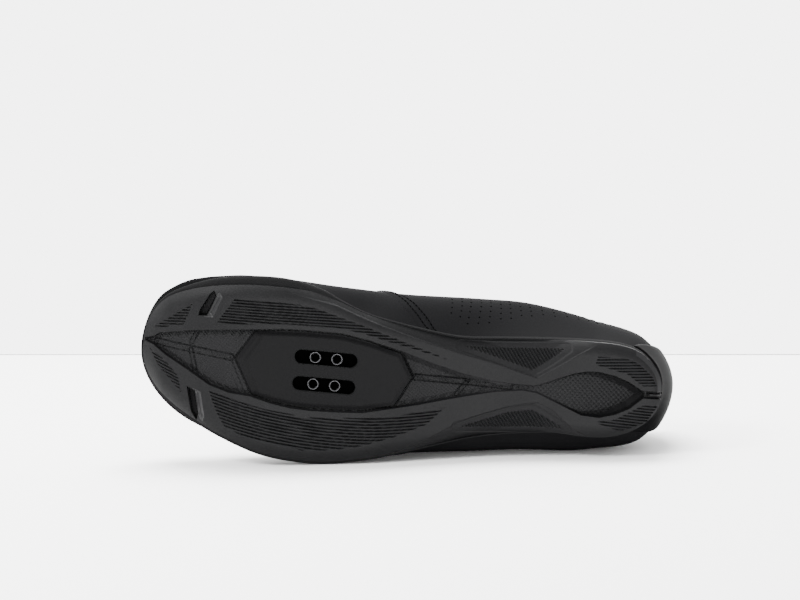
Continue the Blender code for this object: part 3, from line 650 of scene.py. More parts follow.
def pad_level(x, y, pad):
    """The smooth cleat pad, with a soft step behind its front chevron and a rounded border."""
    front, _ = line_distance(shares(PAD_FRONT), x, y)
    step = 0.45 * smooth((9.5 - front) / 2.5) * smooth((x - PAD_MIDDLE - 15) / 8)
    border = 0.9 * smooth((pad + 3.0) / 3.0)
    return PAD_LEVEL + step + border


def wall_width(x, y):
    """Width in plan of the wall round the front opening, broader where its wall leans back."""
    rear = smooth((y + 5.5) / 2.0) * smooth((152 - x) / 10) * smooth((x - 80) / 20)
    return 0.8 + 1.9 * rear


def sole_height(x, y, edge):
    """Level of the underside at plan points; edge is the distance in from the outline."""
    ground = ground_level(x)
    turn = np.clip(1 - edge / EDGE_TURN, 0, 1)
    z = ground + EDGE_RISE * turn**2.2 + wing_fall(x, y)
    z = z + groove_depth(x, y)

    opening = signed_distance(shares(FRONT_OPENING), x, y)
    pad = signed_distance(shares(CLEAT_PAD), x, y)
    inner = blend(panel_level(x, y, opening), pad_level(x, y, pad), inside_share(pad, 0.4))
    inner = inner + 0.6 * ridge(pad - 0.4, 0.4)
    z = blend(z, inner, inside_share(opening, wall_width(x, y)))

    for side in (-1, 1):
        slot = slot_distance(x, y, side)
        z = blend(z, SLOT_FLOOR, inside_share(slot, 0.35))
        z = z + 0.25 * np.clip(1 - slot / 0.6, 0, 1) * (slot > 0)

    leaf = signed_distance(shares(HEEL_LEAF), x, y)
    slit = signed_distance(shares(HEEL_SLIT), x, y)
    deepest = 0.9 + (LEAF_DEEPEST - 0.9) * smooth((72 - x) / 58)
    wall = 0.8 + 3.2 * smooth((46 - x) / 24)
    bowl = blend(inside_share(leaf, 0.8), inside_share(leaf, wall), 0.4)
    dip = np.maximum(deepest * bowl, 4.2 * inside_share(slit, 0.6))
    dip = dip - 3.4 * inside_share(slit + 1.1, 0.4) * smooth((15 - x) / 2)
    dip = dip * (1 - inside_share(opening, 0.8))
    z = z + dip - 0.5 * weave(x, y, 1.8, 0.75) * inside_share(leaf + wall, 0.5)

    for window in (MEDIAL_WINDOW, LATERAL_WINDOW):
        away = signed_distance(shares(window), x, y)
        hatch = wave((x * 0.80 - y * 0.60) / 1.6)
        fine = wave((x * 0.60 + y * 0.80) / 1.4)
        z = z + inside_share(away, 0.5) * (0.70 - 0.90 * hatch - 0.12 * fine)
        z = z + 0.35 * inside_share(away - 3.0, 0.6)

    for port in (MEDIAL_PORT, LATERAL_PORT):
        outline = shares(port)
        slope = signed_distance(outline - PORT_LEAN, x, y)
        z = z + 2.6 * inside_share(slope, 3.2)
        away = signed_distance(outline, x, y)
        z = blend(z, ground + PORT_DEPTH, inside_share(away, 0.7))
    near_slots = np.abs(x - PAD_MIDDLE) < 20
    return np.minimum(z, np.maximum(tread_top(x) + BACKING - 0.3, SLOT_FLOOR * near_slots))


def sole_edges(outward, rim):
    """Start and stop along the shoe, and the two edges of the sole as functions of the place."""
    ring = ring_points(np.arange(1200) * RING_COUNT / 1200, outward, rim)
    back = int(np.argmin(ring[:, 0]))
    ring = np.roll(ring, -back, axis=0)
    front = int(np.argmax(ring[:, 0]))
    medial, lateral = ring[: front + 1], np.vstack((ring[front:], ring[:1]))[::-1]
    return (
        ring[0, 0], ring[front, 0],
        lambda x: np.interp(x, medial[:, 0], medial[:, 1]),
        lambda x: np.interp(x, lateral[:, 0], lateral[:, 1]),
        ring,
    )


def stations(start, stop, count):
    """Places along the sole, close together at its two round ends."""
    share = np.linspace(0, 1, count)
    turned = (1 - np.cos(np.pi * share)) / 2
    near_end = np.clip(np.abs(share - 0.5) * 2, 0, 1) ** 4
    return start + (stop - start) * (0.0012 + blend(share, turned, near_end) * 0.9976)


def hug(x, y, distances, reach):
    """Moves the plan points that lie near an outline onto it, so that its edge is crisp."""
    step = 0.02
    for distance in distances:
        here = distance(x, y)
        slope_x = (distance(x + step, y) - distance(x - step, y)) / (2 * step)
        slope_y = (distance(x, y + step) - distance(x, y - step)) / (2 * step)
        pull = np.where(np.abs(here) < reach, here, 0)
        pull[:, [0, -1]] = 0
        pull[[0, -1], :] = 0
        x, y = x - pull * slope_x, y - pull * slope_y
    return x, y


def crisp_outlines():
    """Distance functions of the outlines whose edges are cut sharp."""
    outlines = (
        FRONT_OPENING, CLEAT_PAD, MEDIAL_PORT, LATERAL_PORT, MEDIAL_WINDOW, LATERAL_WINDOW, HEEL_LEAF,
    )
    plans = [lambda x, y, o=shares(outline): signed_distance(o, x, y) for outline in outlines]
    return plans + [lambda x, y, s=side: slot_distance(x, y, s) for side in (-1, 1)]


def tread_finish(x, y, outline):
    """Finish at plan points: 0 tread; 1 darker panel finish, the cleat pad's own tone and painted shade on
    the leaf's walls; 2 shinier facets whose lighter colour is a painted highlight; 3 near-black painted shade
    inside the slots.
    """
    choice = np.zeros(x.shape, np.int32)
    choice[signed_distance(shares(CLEAT_PAD), x, y) < 0.2] = 1
    # the slots' insides take the near-black finish: painted shade in the deep slots
    for side in (-1, 1):
        choice[slot_distance(x, y, side) < -0.1] = 3
    leaf = signed_distance(shares(HEEL_LEAF), x, y)
    # the leaf's walls, widest towards the heel, take the darker panel finish: painted shade in the deep leaf
    choice[(leaf < 0) & (leaf > -4.0 * smooth((62 - x) / 30))] = 1
    # the ports' slanted bevels take the lighter facet finish: painted highlight
    for port in (MEDIAL_PORT, LATERAL_PORT):
        slope = signed_distance(shares(port) - PORT_LEAN, x, y)
        away = signed_distance(shares(port), x, y)
        choice[(slope < 0) & (away > 0)] = 2
    edge = np.abs(signed_distance(outline, x, y))
    # a band along the heel's medial edge takes the lighter facet finish: painted highlight
    choice[(edge > 0.3) & (edge < HEEL_PAINTED_HIGHLIGHT) & (x < 22) & (y > -3)] = 2
    return choice


def tread_block(name, x, medial, lateral, outline, made):
    """Closed stretch of the tread: detailed underside, level sides, and a top over its pockets."""
    rows, across = len(x), ROWS_ACROSS
    share = np.linspace(0, 1, across)
    share = blend(share, (1 - np.cos(np.pi * share)) / 2, 0.35)
    grid_x = np.repeat(x[:, None], across, axis=1)
    grid_y = lateral[:, None] + (medial - lateral)[:, None] * share[None, :]
    grid_x, grid_y = hug(grid_x, grid_y, crisp_outlines(), 0.55 * (x[1] - x[0]))
    edge = np.abs(signed_distance(outline, grid_x, grid_y))
    low = sole_height(grid_x, grid_y, edge)
    top = np.maximum(tread_top(grid_x) + BACKING, low + 0.5)
    lower = np.stack((grid_x, grid_y, low), -1)
    pocketed = name in TREAD_POCKETED
    if pocketed:
        points, quads = sheet(lower, np.stack((grid_x, grid_y, top), -1))
    else:
        left = np.column_stack((x, lateral, top[:, 0]))[:, None]
        right = np.column_stack((x, medial, top[:, -1]))[:, None]
        points, quads = lofted(np.concatenate((left, lower, right), axis=1))
    block = piece(name, points, quads, made[0], "tread_rubber", ("outsole",), sharp=32.0)
    for other in made[1:]:
        block.data.materials.append(other)
    count = len(block.data.polygons)
    middles = np.empty(count * 3)
    block.data.polygons.foreach_get("center", middles)
    middles = ((middles.reshape(-1, 3) - SHIFT_ROW) @ TURN_ROWS) * 1000
    choice = tread_finish(middles[:, 0], middles[:, 1], outline)
    column = np.arange(count) % (across + 2)
    if pocketed:
        choice[(rows - 1) * (across - 1):] = 1
    else:
        choice[(column == 0) | (column >= across)] = 1
        choice[-2:] = 1
    block.data.polygons.foreach_set("material_index", choice)
    return block


# Stretches of the tread from the heel, each ending at a share of LENGTH
TREAD_ENDS = (("tread_heel", 0.24), ("tread_waist", 0.56), ("tread_cleat", 0.735), ("tread_toe", 1.0))
TREAD_POCKETED = ("tread_cleat",)


def make_tread(made):
    start, stop, medial, lateral, ring = sole_edges(0.0, False)
    x = stations(start, stop, int((stop - start) / CELL_ALONG))
    first = 0
    for name, end in TREAD_ENDS:
        last = min(int(np.searchsorted(x, end * LENGTH)), len(x) - 1)
        part = x[first : last + 1]
        tread_block(name, part, medial(part), lateral(part), ring[::3], made)
        first = last


# Room left open behind the slots, and the nut plate in it: length, width, and two levels
SLOT_ROOM = (38.0, 27.2, -5.0, 25.0)
NUT_PLATE = (34.0, 24.0, 6.3, 7.9)
BOX_SIDES = [[0, 1, 3, 2], [4, 6, 7, 5], [0, 4, 5, 1], [2, 3, 7, 6], [0, 2, 6, 4], [1, 5, 7, 3]]

# Largest rounding of the plate's upper and lower rim, and the least where it doesn't stand out
BEAD = 1.8
UNDER_BEAD = 3.2
LEAST_BEAD = 0.35


def box_corners(length, width, low, high):
    """Corners of a box round the middle of the cleat pad."""
    return np.array([
        (PAD_MIDDLE + i * length / 2, PAD_SIDE + j * width / 2, level)
        for i in (-1, 1) for j in (-1, 1) for level in (low, high)
    ])


def cut_slot_room(body):
    """Takes the room behind the slots out of the plate's body."""
    room_mesh = bpy.data.meshes.new("slot_room")
    room_mesh.from_pydata(to_world(box_corners(*SLOT_ROOM)).tolist(), [], BOX_SIDES)
    room = bpy.data.objects.new("slot_room", room_mesh)
    bpy.context.scene.collection.objects.link(room)
    cut = body.modifiers.new("slot_room", "BOOLEAN")
    cut.operation = "DIFFERENCE"
    cut.solver = "EXACT"
    cut.object = room
    graph = bpy.context.evaluated_depsgraph_get()
    result = bpy.data.meshes.new_from_object(body.evaluated_get(graph))
    body.modifiers.clear()
    body.data = result
    bpy.data.objects.remove(room, do_unlink=True)


def make_plate(made):
    """Body of the plate with its rounded rim and dished footbed, open behind the slots."""
    start, stop, medial, lateral, _ = sole_edges(0.0, True)
    _, _, tread_medial, tread_lateral, _ = sole_edges(0.0, False)
    x = stations(start, stop, 220)
    low, high = tread_top(x) + GAP, top_level(x)
    near, far = medial(x), lateral(x)
    width = near - far
    bead = np.minimum((high - low) * 0.42, BEAD)
    pull = np.minimum(bead, width * 0.12)
    under = np.minimum((high - low) * 0.42, UNDER_BEAD)
    under_near = np.minimum(np.clip((near - tread_medial(x)) * 0.9, LEAST_BEAD, under), width * 0.12)
    under_far = np.minimum(np.clip((tread_lateral(x) - far) * 0.9, LEAST_BEAD, under), width * 0.12)
    brim = np.minimum(FOOTBED_RIM, width * 0.25)
    foot = np.minimum(FOOTBED_RIM + FOOTBED_SLOPE, width * 0.4)
    end = np.minimum(x - start, stop - x)
    bed = np.where(end < FOOTBED_RIM, high - 0.1, footbed_level(x))
    turns = [(math.sin(math.pi / 10 * k), math.cos(math.pi / 10 * k)) for k in range(6)]
    loop = [(near - brim, high)]
    loop += [(near - pull + pull * s, high - bead + bead * c) for s, c in turns]
    loop += [(near - under_near * (1 - c), low + under_near * (1 - s)) for s, c in turns]
    middle = (near + far) / 2
    inner_near = np.maximum(tread_medial(x) - 0.4, middle + 0.2)
    inner_far = np.minimum(tread_lateral(x) + 0.4, middle - 0.2)
    pocket = low + (BACKING + 0.1) * smooth((inner_near - inner_far - 1.0) / 5.0)
    loop += [(inner_near, low), (inner_near, pocket), (inner_far, pocket), (inner_far, low)]
    loop += [(far + under_far * (1 - s), low + under_far * (1 - c)) for s, c in turns]
    loop += [(far + pull - pull * c, high - bead + bead * s) for s, c in turns]
    loop += [(far + brim, high), (far + foot, bed), (near - foot, bed)]
    points, quads = lofted(np.stack([np.column_stack((x, y, z)) for y, z in loop], axis=1))
    body = piece("plate_body", points, quads, made, "sole_nylon", ("sole_plate",), sharp=40.0)
    cut_slot_room(body)
    return body


# Roll of the collar's edge as a share of the ribs, and the thickness of its padding
COLLAR_ROLL = 0.035
PADDING = 2.4


def collar_share(places):
    """1 along the padded collar round the heel, 0 along the throat."""
    away = np.minimum(places, RING_COUNT - places)
    return smooth((8.2 - away) / 1.6)


def make_upper(made):
    """The whole shell: outer face with soft creases, padded collar with a rolled edge, lining."""
    places = np.repeat(np.arange(UPPER_RIB_COUNT) * RING_COUNT / UPPER_RIB_COUNT, UPPER_STEPS + 1)
    share = np.linspace(0, 1, UPPER_STEPS + 1)
    ups = np.tile(blend(share, 1 - (1 - share) ** 2, 0.5), UPPER_RIB_COUNT)
    roll = np.clip((ups - 1 + COLLAR_ROLL) / COLLAR_ROLL, 0, 1)
    turn = 1 - np.sqrt(np.clip(1 - roll**2, 0, 1))
    padding = PADDING * smooth((ups - 0.66) / 0.16) * collar_share(places)
    fold = sum(
        deep * np.exp(-((places - place - lean * ups) / wide) ** 2) for place, lean, wide, deep in UPPER_FOLDS
    ) * smooth(ups / 0.2) * smooth((1 - ups) / 0.15)
    body = WALL + padding
    outer = shell_points(places, ups, turn * body * 0.45 + fold - 0.5 * padding)
    inner = shell_points(places, ups, WALL + 0.5 * padding - turn * body * 0.45)
    columns = UPPER_STEPS + 1
    count = UPPER_RIB_COUNT * columns
    quads = grid_quads(UPPER_RIB_COUNT, columns, closed_rows=True)
    inside = (quads + count)[:, ::-1]
    i = np.arange(UPPER_RIB_COUNT)
    a, b = i * columns, (i + 1) % UPPER_RIB_COUNT * columns
    foot = np.stack((a, count + a, count + b, b), 1)
    a, b = a + columns - 1, b + columns - 1
    edge = np.stack((a, b, count + b, count + a), 1)
    return piece(
        "upper_shell", np.vstack((outer, inner)), np.vstack((quads, inside, foot, edge)), made,
        "upper_leather", ("upper",), sharp=60.0,
    )


# Soft folds of the upper: place, lean, width along the ribs, and depth
UPPER_FOLDS = (
    (15.4, 1.6, 0.35, 0.35), (16.6, 1.2, 0.30, -0.25), (17.5, 0.8, 0.35, 0.30),
    (25.0, -1.2, 0.40, 0.35), (26.3, -1.4, 0.35, -0.25), (4.6, 0.4, 0.30, 0.25), (35.6, -0.4, 0.30, 0.25),
)

# Edge of the vamp where it laps the quarter, as places on the ribs and shares up them
SEAM = (
    (8.93, 0.0), (9.10, 0.055), (9.25, 0.10), (9.38, 0.135), (9.53, 0.17), (9.73, 0.22),
    (9.98, 0.27), (10.35, 0.34), (10.8, 0.44), (11.3, 0.56), (11.8, 0.70), (12.3, 0.85), (12.7, 0.97),
)
SEAM_LAP = 0.34
SEAM_STEP = 0.85

# Rows along the seam: name, shift in ribs, height over the upper as a share of the lap's step,
# least share up the ribs, pitch and length
SEAM_ROWS = (
    ("stitches_vamp", 0.125, 0.72, 0.02, 2.3, 1.8),
    ("stitches_quarter", -0.115, 0.059, 0.02, 2.3, 1.8),
    # this row is a near-black dashed line in thread finish along the vamp's edge: painted shade of the lap's
    # step
    ("cut_edge_painted_shade", -0.006, 0.3, 0.01, 1.6, 1.75),
)
STITCH_PITCH = 2.3
STITCH_LENGTH = 1.8
STITCH_RADIUS = 0.32

# Sections of a stitch: share along it, and share of its radius
STITCH_ROWS = ((0.0, 0.45), (0.15, 0.9), (0.5, 1.0), (0.85, 0.9), (1.0, 0.45))
STITCH_SIDES = 6


def seam_line(count, shift, lateral):
    """Even points along the vamp's edge, shifted along the shoe by a share of a rib."""
    rows = np.array(SEAM)
    share = np.linspace(0, len(rows) - 1, count)
    places = np.interp(share, np.arange(len(rows)), rows[:, 0]) + shift
    ups = np.interp(share, np.arange(len(rows)), rows[:, 1])
    return (RING_COUNT - places if lateral else places), ups


def make_vamp_edges(made):
    """Lapped edge of the vamp on each side: a thin sheet that fades into the upper."""
    rows, columns = 90, 9
    for name, lateral in (("medial", False), ("lateral", True)):
        outer, inner = [], []
        for j in range(columns):
            t = j / (columns - 1)
            places, ups = seam_line(rows, SEAM_LAP * t, lateral)
            outer.append(shell_points(places, np.maximum(ups, 0.002), -SEAM_STEP * (1 - t) ** 0.7))
            inner.append(shell_points(places, np.maximum(ups, 0.002), 0.25))
        points, quads = sheet(np.array(outer), np.array(inner))
        piece(f"vamp_edge_{name}", points, quads, made, "upper_leather", ("upper",), sharp=40.0)


def stitches(name, points, normals, made, slot, replaced, pitch=STITCH_PITCH, length=STITCH_LENGTH):
    """A row of short rounded stitches joined in one piece, laid along a line of points."""
    steps = np.linalg.norm(np.diff(points, axis=0), axis=1)
    run = np.concatenate(([0], np.cumsum(steps)))
    count = int(run[-1] / pitch)
    made_points, made_quads = [], []
    for k in range(count):
        middle = (k + 0.5) * pitch
        ends = [
            np.array([np.interp(middle + side * length / 2, run, points[:, c]) for c in range(3)])
            for side in (-1, 1)
        ]
        normal = np.array([np.interp(middle, run, normals[:, c]) for c in range(3)])
        normal /= np.linalg.norm(normal)
        along = (ends[1] - ends[0]) / np.linalg.norm(ends[1] - ends[0])
        across = np.cross(normal, along)
        base = len(made_points)
        for t, scale in STITCH_ROWS:
            spot = ends[0] * (1 - t) + ends[1] * t
            for a in np.linspace(0, 2 * math.pi, STITCH_SIDES + 1)[:-1]:
                offset = across * math.cos(a) + normal * (math.sin(a) * 0.8 + 0.25)
                made_points.append(spot + offset * STITCH_RADIUS * scale)
        made_quads += capped_tube(len(STITCH_ROWS), STITCH_SIDES, base)
    return piece(name, np.array(made_points), made_quads, made, slot, replaced, sharp=80.0)


def shell_normals(places, ups):
    return shell_points(places, ups, -1.0) - shell_points(places, ups, 0.0)


def make_seam_stitches(made):
    for side, lateral in (("medial", False), ("lateral", True)):
        for name, shift, share, least, pitch, length in SEAM_ROWS:
            places, ups = seam_line(160, shift, lateral)
            ups = np.maximum(ups, least)
            points, normals = shell_points(places, ups, -SEAM_STEP * share), shell_normals(places, ups)
            label = f"{name}_{side}"
            stitches(label, points, normals, made, "upper_leather", ("upper",), pitch, length)


# Pinholes: columns and rows, radius, rise of the lateral ones, first place and step along the
# ribs, place of the deepest column, its level and the climb before and after it, steps up and
# along a column, and the stagger of every other column
PIN_COLUMNS = 18
PIN_ROWS = 8
PIN_RADIUS = 0.47
PIN_LATERAL_RISE = 0.34
PIN_FIRST = 8.62
PIN_STEP = 0.275
PIN_DEEPEST = 7.95
PIN_LEVEL = 0.105
PIN_CLIMB = (0.12, 0.072)
PIN_UP = 0.045
PIN_ALONG = 0.036
PIN_STAGGER = 0.012


def make_pinholes(made):
    """Pinholes of the quarter in staggered columns, lowest where the quarter is deepest: low near-black domes
    on the surface, painted shade for the holes.
    """
    places, ups = [], []
    for k in range(PIN_COLUMNS):
        place = PIN_FIRST - PIN_STEP * k
        past = place - PIN_DEEPEST
        low = PIN_LEVEL + PIN_CLIMB[0] * max(past, 0) + PIN_CLIMB[1] * max(-past, 0)
        for row in range(PIN_ROWS):
            up = low + PIN_UP * row + (PIN_STAGGER if k % 2 else 0.0)
            along = place + PIN_ALONG * row
            if up < 0.60:
                places.append(along)
                ups.append(up)
            if up + PIN_LATERAL_RISE < 0.68:
                places.append(RING_COUNT - along)
                ups.append(up + PIN_LATERAL_RISE)
    places, ups = np.array(places), np.array(ups)
    centres = shell_points(places, ups, 0.0)
    unit_dots("pinholes", centres, shell_normals(places, ups), PIN_RADIUS, 0.06, 10, made, "upper_leather")


# Heel cup: reach round the ribs, lean of its ends, share of the ribs it climbs, and its rounding
CUP_REACH = 3.333
CUP_LEAN = 1.1
CUP_TOP = 7 / 11
CUP_ROUNDING = 1.6


def make_counter(made):
    """Moulded heel cup with edges rounded down to the upper."""
    rows, columns = 90, 44
    across = np.linspace(-1, 1, rows)
    ups = np.tile(np.linspace(0, CUP_TOP, columns), rows)
    lean = CUP_REACH - CUP_LEAN * smooth(ups / 0.4)
    places = np.mod(np.repeat(across, columns) * lean, RING_COUNT)
    near_side = (1 - np.abs(np.repeat(across, columns))) * lean * 6.5
    near_top = (CUP_TOP - ups) * 66
    near = np.minimum(near_side, near_top)
    crown = np.sqrt(np.clip(1 - (1 - np.clip(near / CUP_ROUNDING, 0, 1)) ** 2, 0, 1))
    depth = -(COUNTER_THICKNESS * (0.15 + 0.85 * crown) + GAP)
    outer = shell_points(places, ups, depth).reshape(rows, columns, 3)
    inner = shell_points(places, ups, -0.1).reshape(rows, columns, 3)
    return piece("heel_cup", *sheet(outer, inner), made, "moulded_plastic", ("heel_counter",))


# Barrels of the nut plate: outer and bore radius, bevel, level of their faces, thread pitch
BARREL_OUTER = 3.2
BARREL_BORE = 2.1
BARREL_BEVEL = 0.4
BARREL_LEVEL = 3.45
THREAD_PITCH = 0.5


def turned_ring(rows, centre, sides):
    """Points and quads of a ring turned about an upright line, from radius and level rows."""
    turns = np.arange(sides) * 2 * math.pi / sides
    points = np.array([
        (centre[0] + radius * math.cos(a), centre[1] + radius * math.sin(a), level)
        for a in turns for radius, level in rows
    ])
    return points, grid_quads(sides, len(rows), closed_rows=True, closed_columns=True)


def make_nuts(dark, bright):
    """Plate behind the slots, and its four threaded barrels with bevelled rims."""
    level = NUT_PLATE[2]
    # the nut plate deep behind the slots is near-black: painted shade
    piece("nut_plate", box_corners(*NUT_PLATE), BOX_SIDES, dark, "cleat_steel", ("cleat_nut_plate",))
    rim = [
        (BARREL_OUTER - BARREL_BEVEL, BARREL_LEVEL), (BARREL_OUTER, BARREL_LEVEL + BARREL_BEVEL),
        (BARREL_OUTER, level), (BARREL_BORE, level),
    ]
    for k in range(4):
        turn = level - THREAD_PITCH * k
        rim += [(BARREL_BORE, turn - THREAD_PITCH / 2), (BARREL_BORE + 0.25, turn - THREAD_PITCH)]
    rim += [(BARREL_BORE, BARREL_LEVEL + BARREL_BEVEL), (BARREL_BORE + BARREL_BEVEL, BARREL_LEVEL)]
    points, quads = [], []
    for i in (-1, 1):
        for j in (-1, 1):
            spot = (PAD_MIDDLE + i * BARREL_SPACING / 2, PAD_SIDE + j * SLOT_SPACING / 2)
            ring, ring_quads = turned_ring(rim, spot, 48)
            quads.append(ring_quads + sum(len(p) for p in points))
            points.append(ring)
    points, quads = np.vstack(points), np.vstack(quads)
    piece("nut_barrels", points, quads, bright, "cleat_steel", ("cleat_nut_plate",), sharp=30.0)


# The throat: its two sides at the round toe end, out of as many ribs round the shoe, the pairs
# of facing ribs along it, and the steps up each rib
THROAT_SIDES = (30, 42)
THROAT_ROUND = 72
THROAT_PAIRS = 16
RIB_STEPS = 11


def across_throat(pair, steps, depth, crown, spans):
    """Points across the throat at a pair of facing ribs, down both sides by steps."""
    medial = (THROAT_SIDES[0] - pair) * RING_COUNT / THROAT_ROUND
    lateral = (THROAT_SIDES[1] + pair) * RING_COUNT / THROAT_ROUND
    ups = 1 - np.asarray(steps) / RIB_STEPS
    rise = shell_points(np.full(len(ups), medial), ups, depth)
    fall = shell_points(np.full(len(ups), lateral), ups, depth)[::-1]
    t = np.linspace(0, 1, spans + 1)[1:-1, None]
    middle = rise[-1] * (1 - t) + fall[0] * t
    middle[:, 2] += crown * 4 * (t * (1 - t))[:, 0]
    return np.vstack((rise, middle, fall))


# Straps: middle along the shoe at the throat's edge and at the ends, and half the width;
# then how many steps down the ribs they reach, and how much of that their corners take
STRAPS = (("toe", 190.0, 200.0, 8.5), ("mid", 162.5, 169.0, 10.5), ("top", 121.5, 126.0, 13.5))
STRAP_REACH = 3.0
STRAP_CORNER = 0.5


def eased(points, passes):
    """A line of points with its corners evened out, its two ends kept."""
    for _ in range(passes):
        points[1:-1] = points[1:-1] / 2 + (points[:-2] + points[2:]) / 4
    return points


def places_at(x, ups, lateral):
    """Places on the ribs where the shell passes over points along the shoe."""
    spots = np.linspace(7.0, 19.0, 61)
    around = RING_COUNT - spots if lateral else spots
    table = rib_points(np.tile(around, len(ups)), np.repeat(ups, len(spots)))[:, 0]
    rows = table.reshape(len(ups), len(spots))
    found = np.array([np.interp(target, row, spots) for target, row in zip(x, rows)])
    return RING_COUNT - found if lateral else found


def strap_line(strap, t, ends, depth):
    """Points along a strap at a share of its width, its two ends rounded off."""
    _, near, far, half = strap
    steps = np.linspace(STRAP_REACH, 0, ends)
    corner = np.clip((steps - STRAP_REACH + STRAP_CORNER) / STRAP_CORNER, 0, 1)
    narrow = 1 - 0.28 * (1 - np.sqrt(np.clip(1 - corner**2, 0, 1)))
    x = near + (far - near) * steps / STRAP_REACH + (t - 0.5) * 2 * half * narrow
    ups = 1 - steps / RIB_STEPS
    medial, lateral = places_at(x, ups, False), places_at(x, ups, True)
    lifted = depth - STRAP_LIFT * np.exp(-(steps / 0.8) ** 2)
    rise = shell_points(medial, ups, lifted)
    fall = shell_points(lateral, ups, lifted)[::-1]
    share = np.linspace(0, 1, 31)[1:-1, None]
    middle = rise[-1] * (1 - share) + fall[0] * share
    crown = STRAP_CROWN * min(1.0, np.linalg.norm(rise[-1] - fall[0]) / STRAP_SPAN)
    middle[:, 2] += crown * 4 * (share * (1 - share))[:, 0]
    return eased(np.vstack((rise, middle, fall)), STRAP_EASE)


def make_straps(made, thread):
    """The three straps over the throat, each with a row of stitches along both edges."""
    for strap in STRAPS:
        name = strap[0]
        sheets = []
        for side in (1, 0):
            grid = []
            for t in np.linspace(0, 1, 29):
                edge = min(t, 1 - t) * 2
                lift = math.sqrt(max(0.0, 1 - (1 - min(edge / 0.12, 1)) ** 2))
                depth = -GAP - side * STRAP_THICKNESS * (0.45 + 0.55 * lift)
                grid.append(strap_line(strap, t, 24, depth))
            sheets.append(np.array(grid))
        node_names = (f"strap_{name}",)
        piece(f"strap_{name}_band", *sheet(*sheets), made, "strap_cloth", node_names)
        for row, t in (("front", 0.11), ("back", 0.89)):
            line = strap_line(strap, t, 24, -GAP - STRAP_THICKNESS * 0.97)
            lower = strap_line(strap, t, 24, -GAP)
            stitches(f"stitches_{name}_{row}", line, line - lower, thread, "strap_cloth", node_names)


def tongue_fan(depth, spans):
    """Rows that spread from the round toe end of the throat to the tongue's first full row."""
    first = across_throat(0, np.linspace(2, 0, 8), depth, TONGUE_CROWN, spans)
    round_end = np.linspace(*THROAT_SIDES, len(first)) * RING_COUNT / THROAT_ROUND
    arc = shell_points(round_end, np.full(len(first), 1 - 2 / RIB_STEPS), depth)
    return [arc * (1 - t) + first * t for t in np.linspace(0, 1, 9)[:-1]]


def make_tongue(made):
    """Crowned pad under the throat, with a narrower top end that stands up at the collar."""
    rows, spans = 49, 16
    sheets = []
    for depth in (WALL + TONGUE_GAP, WALL + TONGUE_GAP + TONGUE_THICKNESS):
        grid = tongue_fan(depth, spans)
        for i in range(rows):
            pair = THROAT_PAIRS * i / (rows - 1)
            reach = min(1.0, (THROAT_PAIRS - pair) / 4)
            steps = np.linspace(2 * reach, 0, 8)
            grid.append(eased(across_throat(pair, steps, depth, TONGUE_CROWN, spans), 12))
        last = grid[-1]
        count = len(last)
        first, end = last[7], last[count - 8]
        t = np.linspace(0, 1, count)[:, None]
        for lift in np.linspace(0, 1, 13)[1:]:
            narrow = (1 - 0.22 * lift**2) * math.sqrt(1 - 0.65 * max(0.0, (lift - 0.6) / 0.4) ** 2)
            middle = (first + end) / 2
            row = middle + (first * (1 - t) + end * t - middle) * narrow
            row = row + TONGUE_LEAN * TONGUE_RISE * lift
            row[:, 2] += TONGUE_CROWN * 4 * (t * (1 - t))[:, 0]
            grid.append(row)
        sheets.append(np.array(grid))
    tongue = piece("tongue_pad", *sheet(*sheets), made, "tongue_cloth", ("tongue",))
    return tongue


def make_insole(made):
    """Foam bed with rounded upper edges, on the dished footbed."""
    start, stop, medial, lateral, _ = sole_edges(-(FOOTBED_RIM + FOOTBED_SLOPE + 0.6), True)
    x = stations(start, stop, 160)
    low = footbed_level(x) + FEATHER_GAP
    high = low + INSOLE_THICKNESS
    near, far = medial(x), lateral(x)
    soft = np.minimum(1.0, (near - far) * 0.2)
    loop = [
        (near, low), (near, high - 1.0), (near - soft * 0.3, high - 0.3), (near - soft, high),
        (far + soft, high), (far + soft * 0.3, high - 0.3), (far, high - 1.0), (far, low),
    ]
    points, quads = lofted(np.stack([np.column_stack((x, y, z)) for y, z in loop], axis=1))
    insole = piece("insole_foam_bed", points, quads, made, "insole_foam", ("insole",))
    return insole


def unit_dots(name, centres, normals, radius, height, sides, made, slot):
    """Small low domes joined in one piece, each on its own point and normal."""
    points, quads = [], []
    for centre, normal in zip(centres, normals):
        helper = np.array((0.0, 0.0, 1.0)) if abs(normal[2]) < 0.9 else np.array((1.0, 0.0, 0.0))
        u = np.cross(normal, helper)
        u /= np.linalg.norm(u)
        v = np.cross(normal, u)
        base = len(points)
        rings = ((radius, -0.3), (radius, 0.4 * height), (radius * 0.6, height))
        for reach, level in rings:
            for a in np.linspace(0, 2 * math.pi, sides + 1)[:-1]:
                points.append(centre + reach * (u * math.cos(a) + v * math.sin(a)) + normal * level)
        quads += capped_tube(len(rings), sides, base)
    return piece(name, np.array(points), quads, made, slot, sharp=80.0)


# Camera: turn, rise and roll in degrees, distance in metres, pixels a metre at the target,
# the target, the sensor in millimetres and the picture's width in pixels
CAMERA_ANGLES = (-1.04, 6.58, -1.58)
CAMERA_DISTANCE = 1.6
CAMERA_SCALE = 1863.0
CAMERA_TARGET = (-0.0025, 0.0, 0.0799)
SENSOR = 36.0
PICTURE_WIDTH = 800


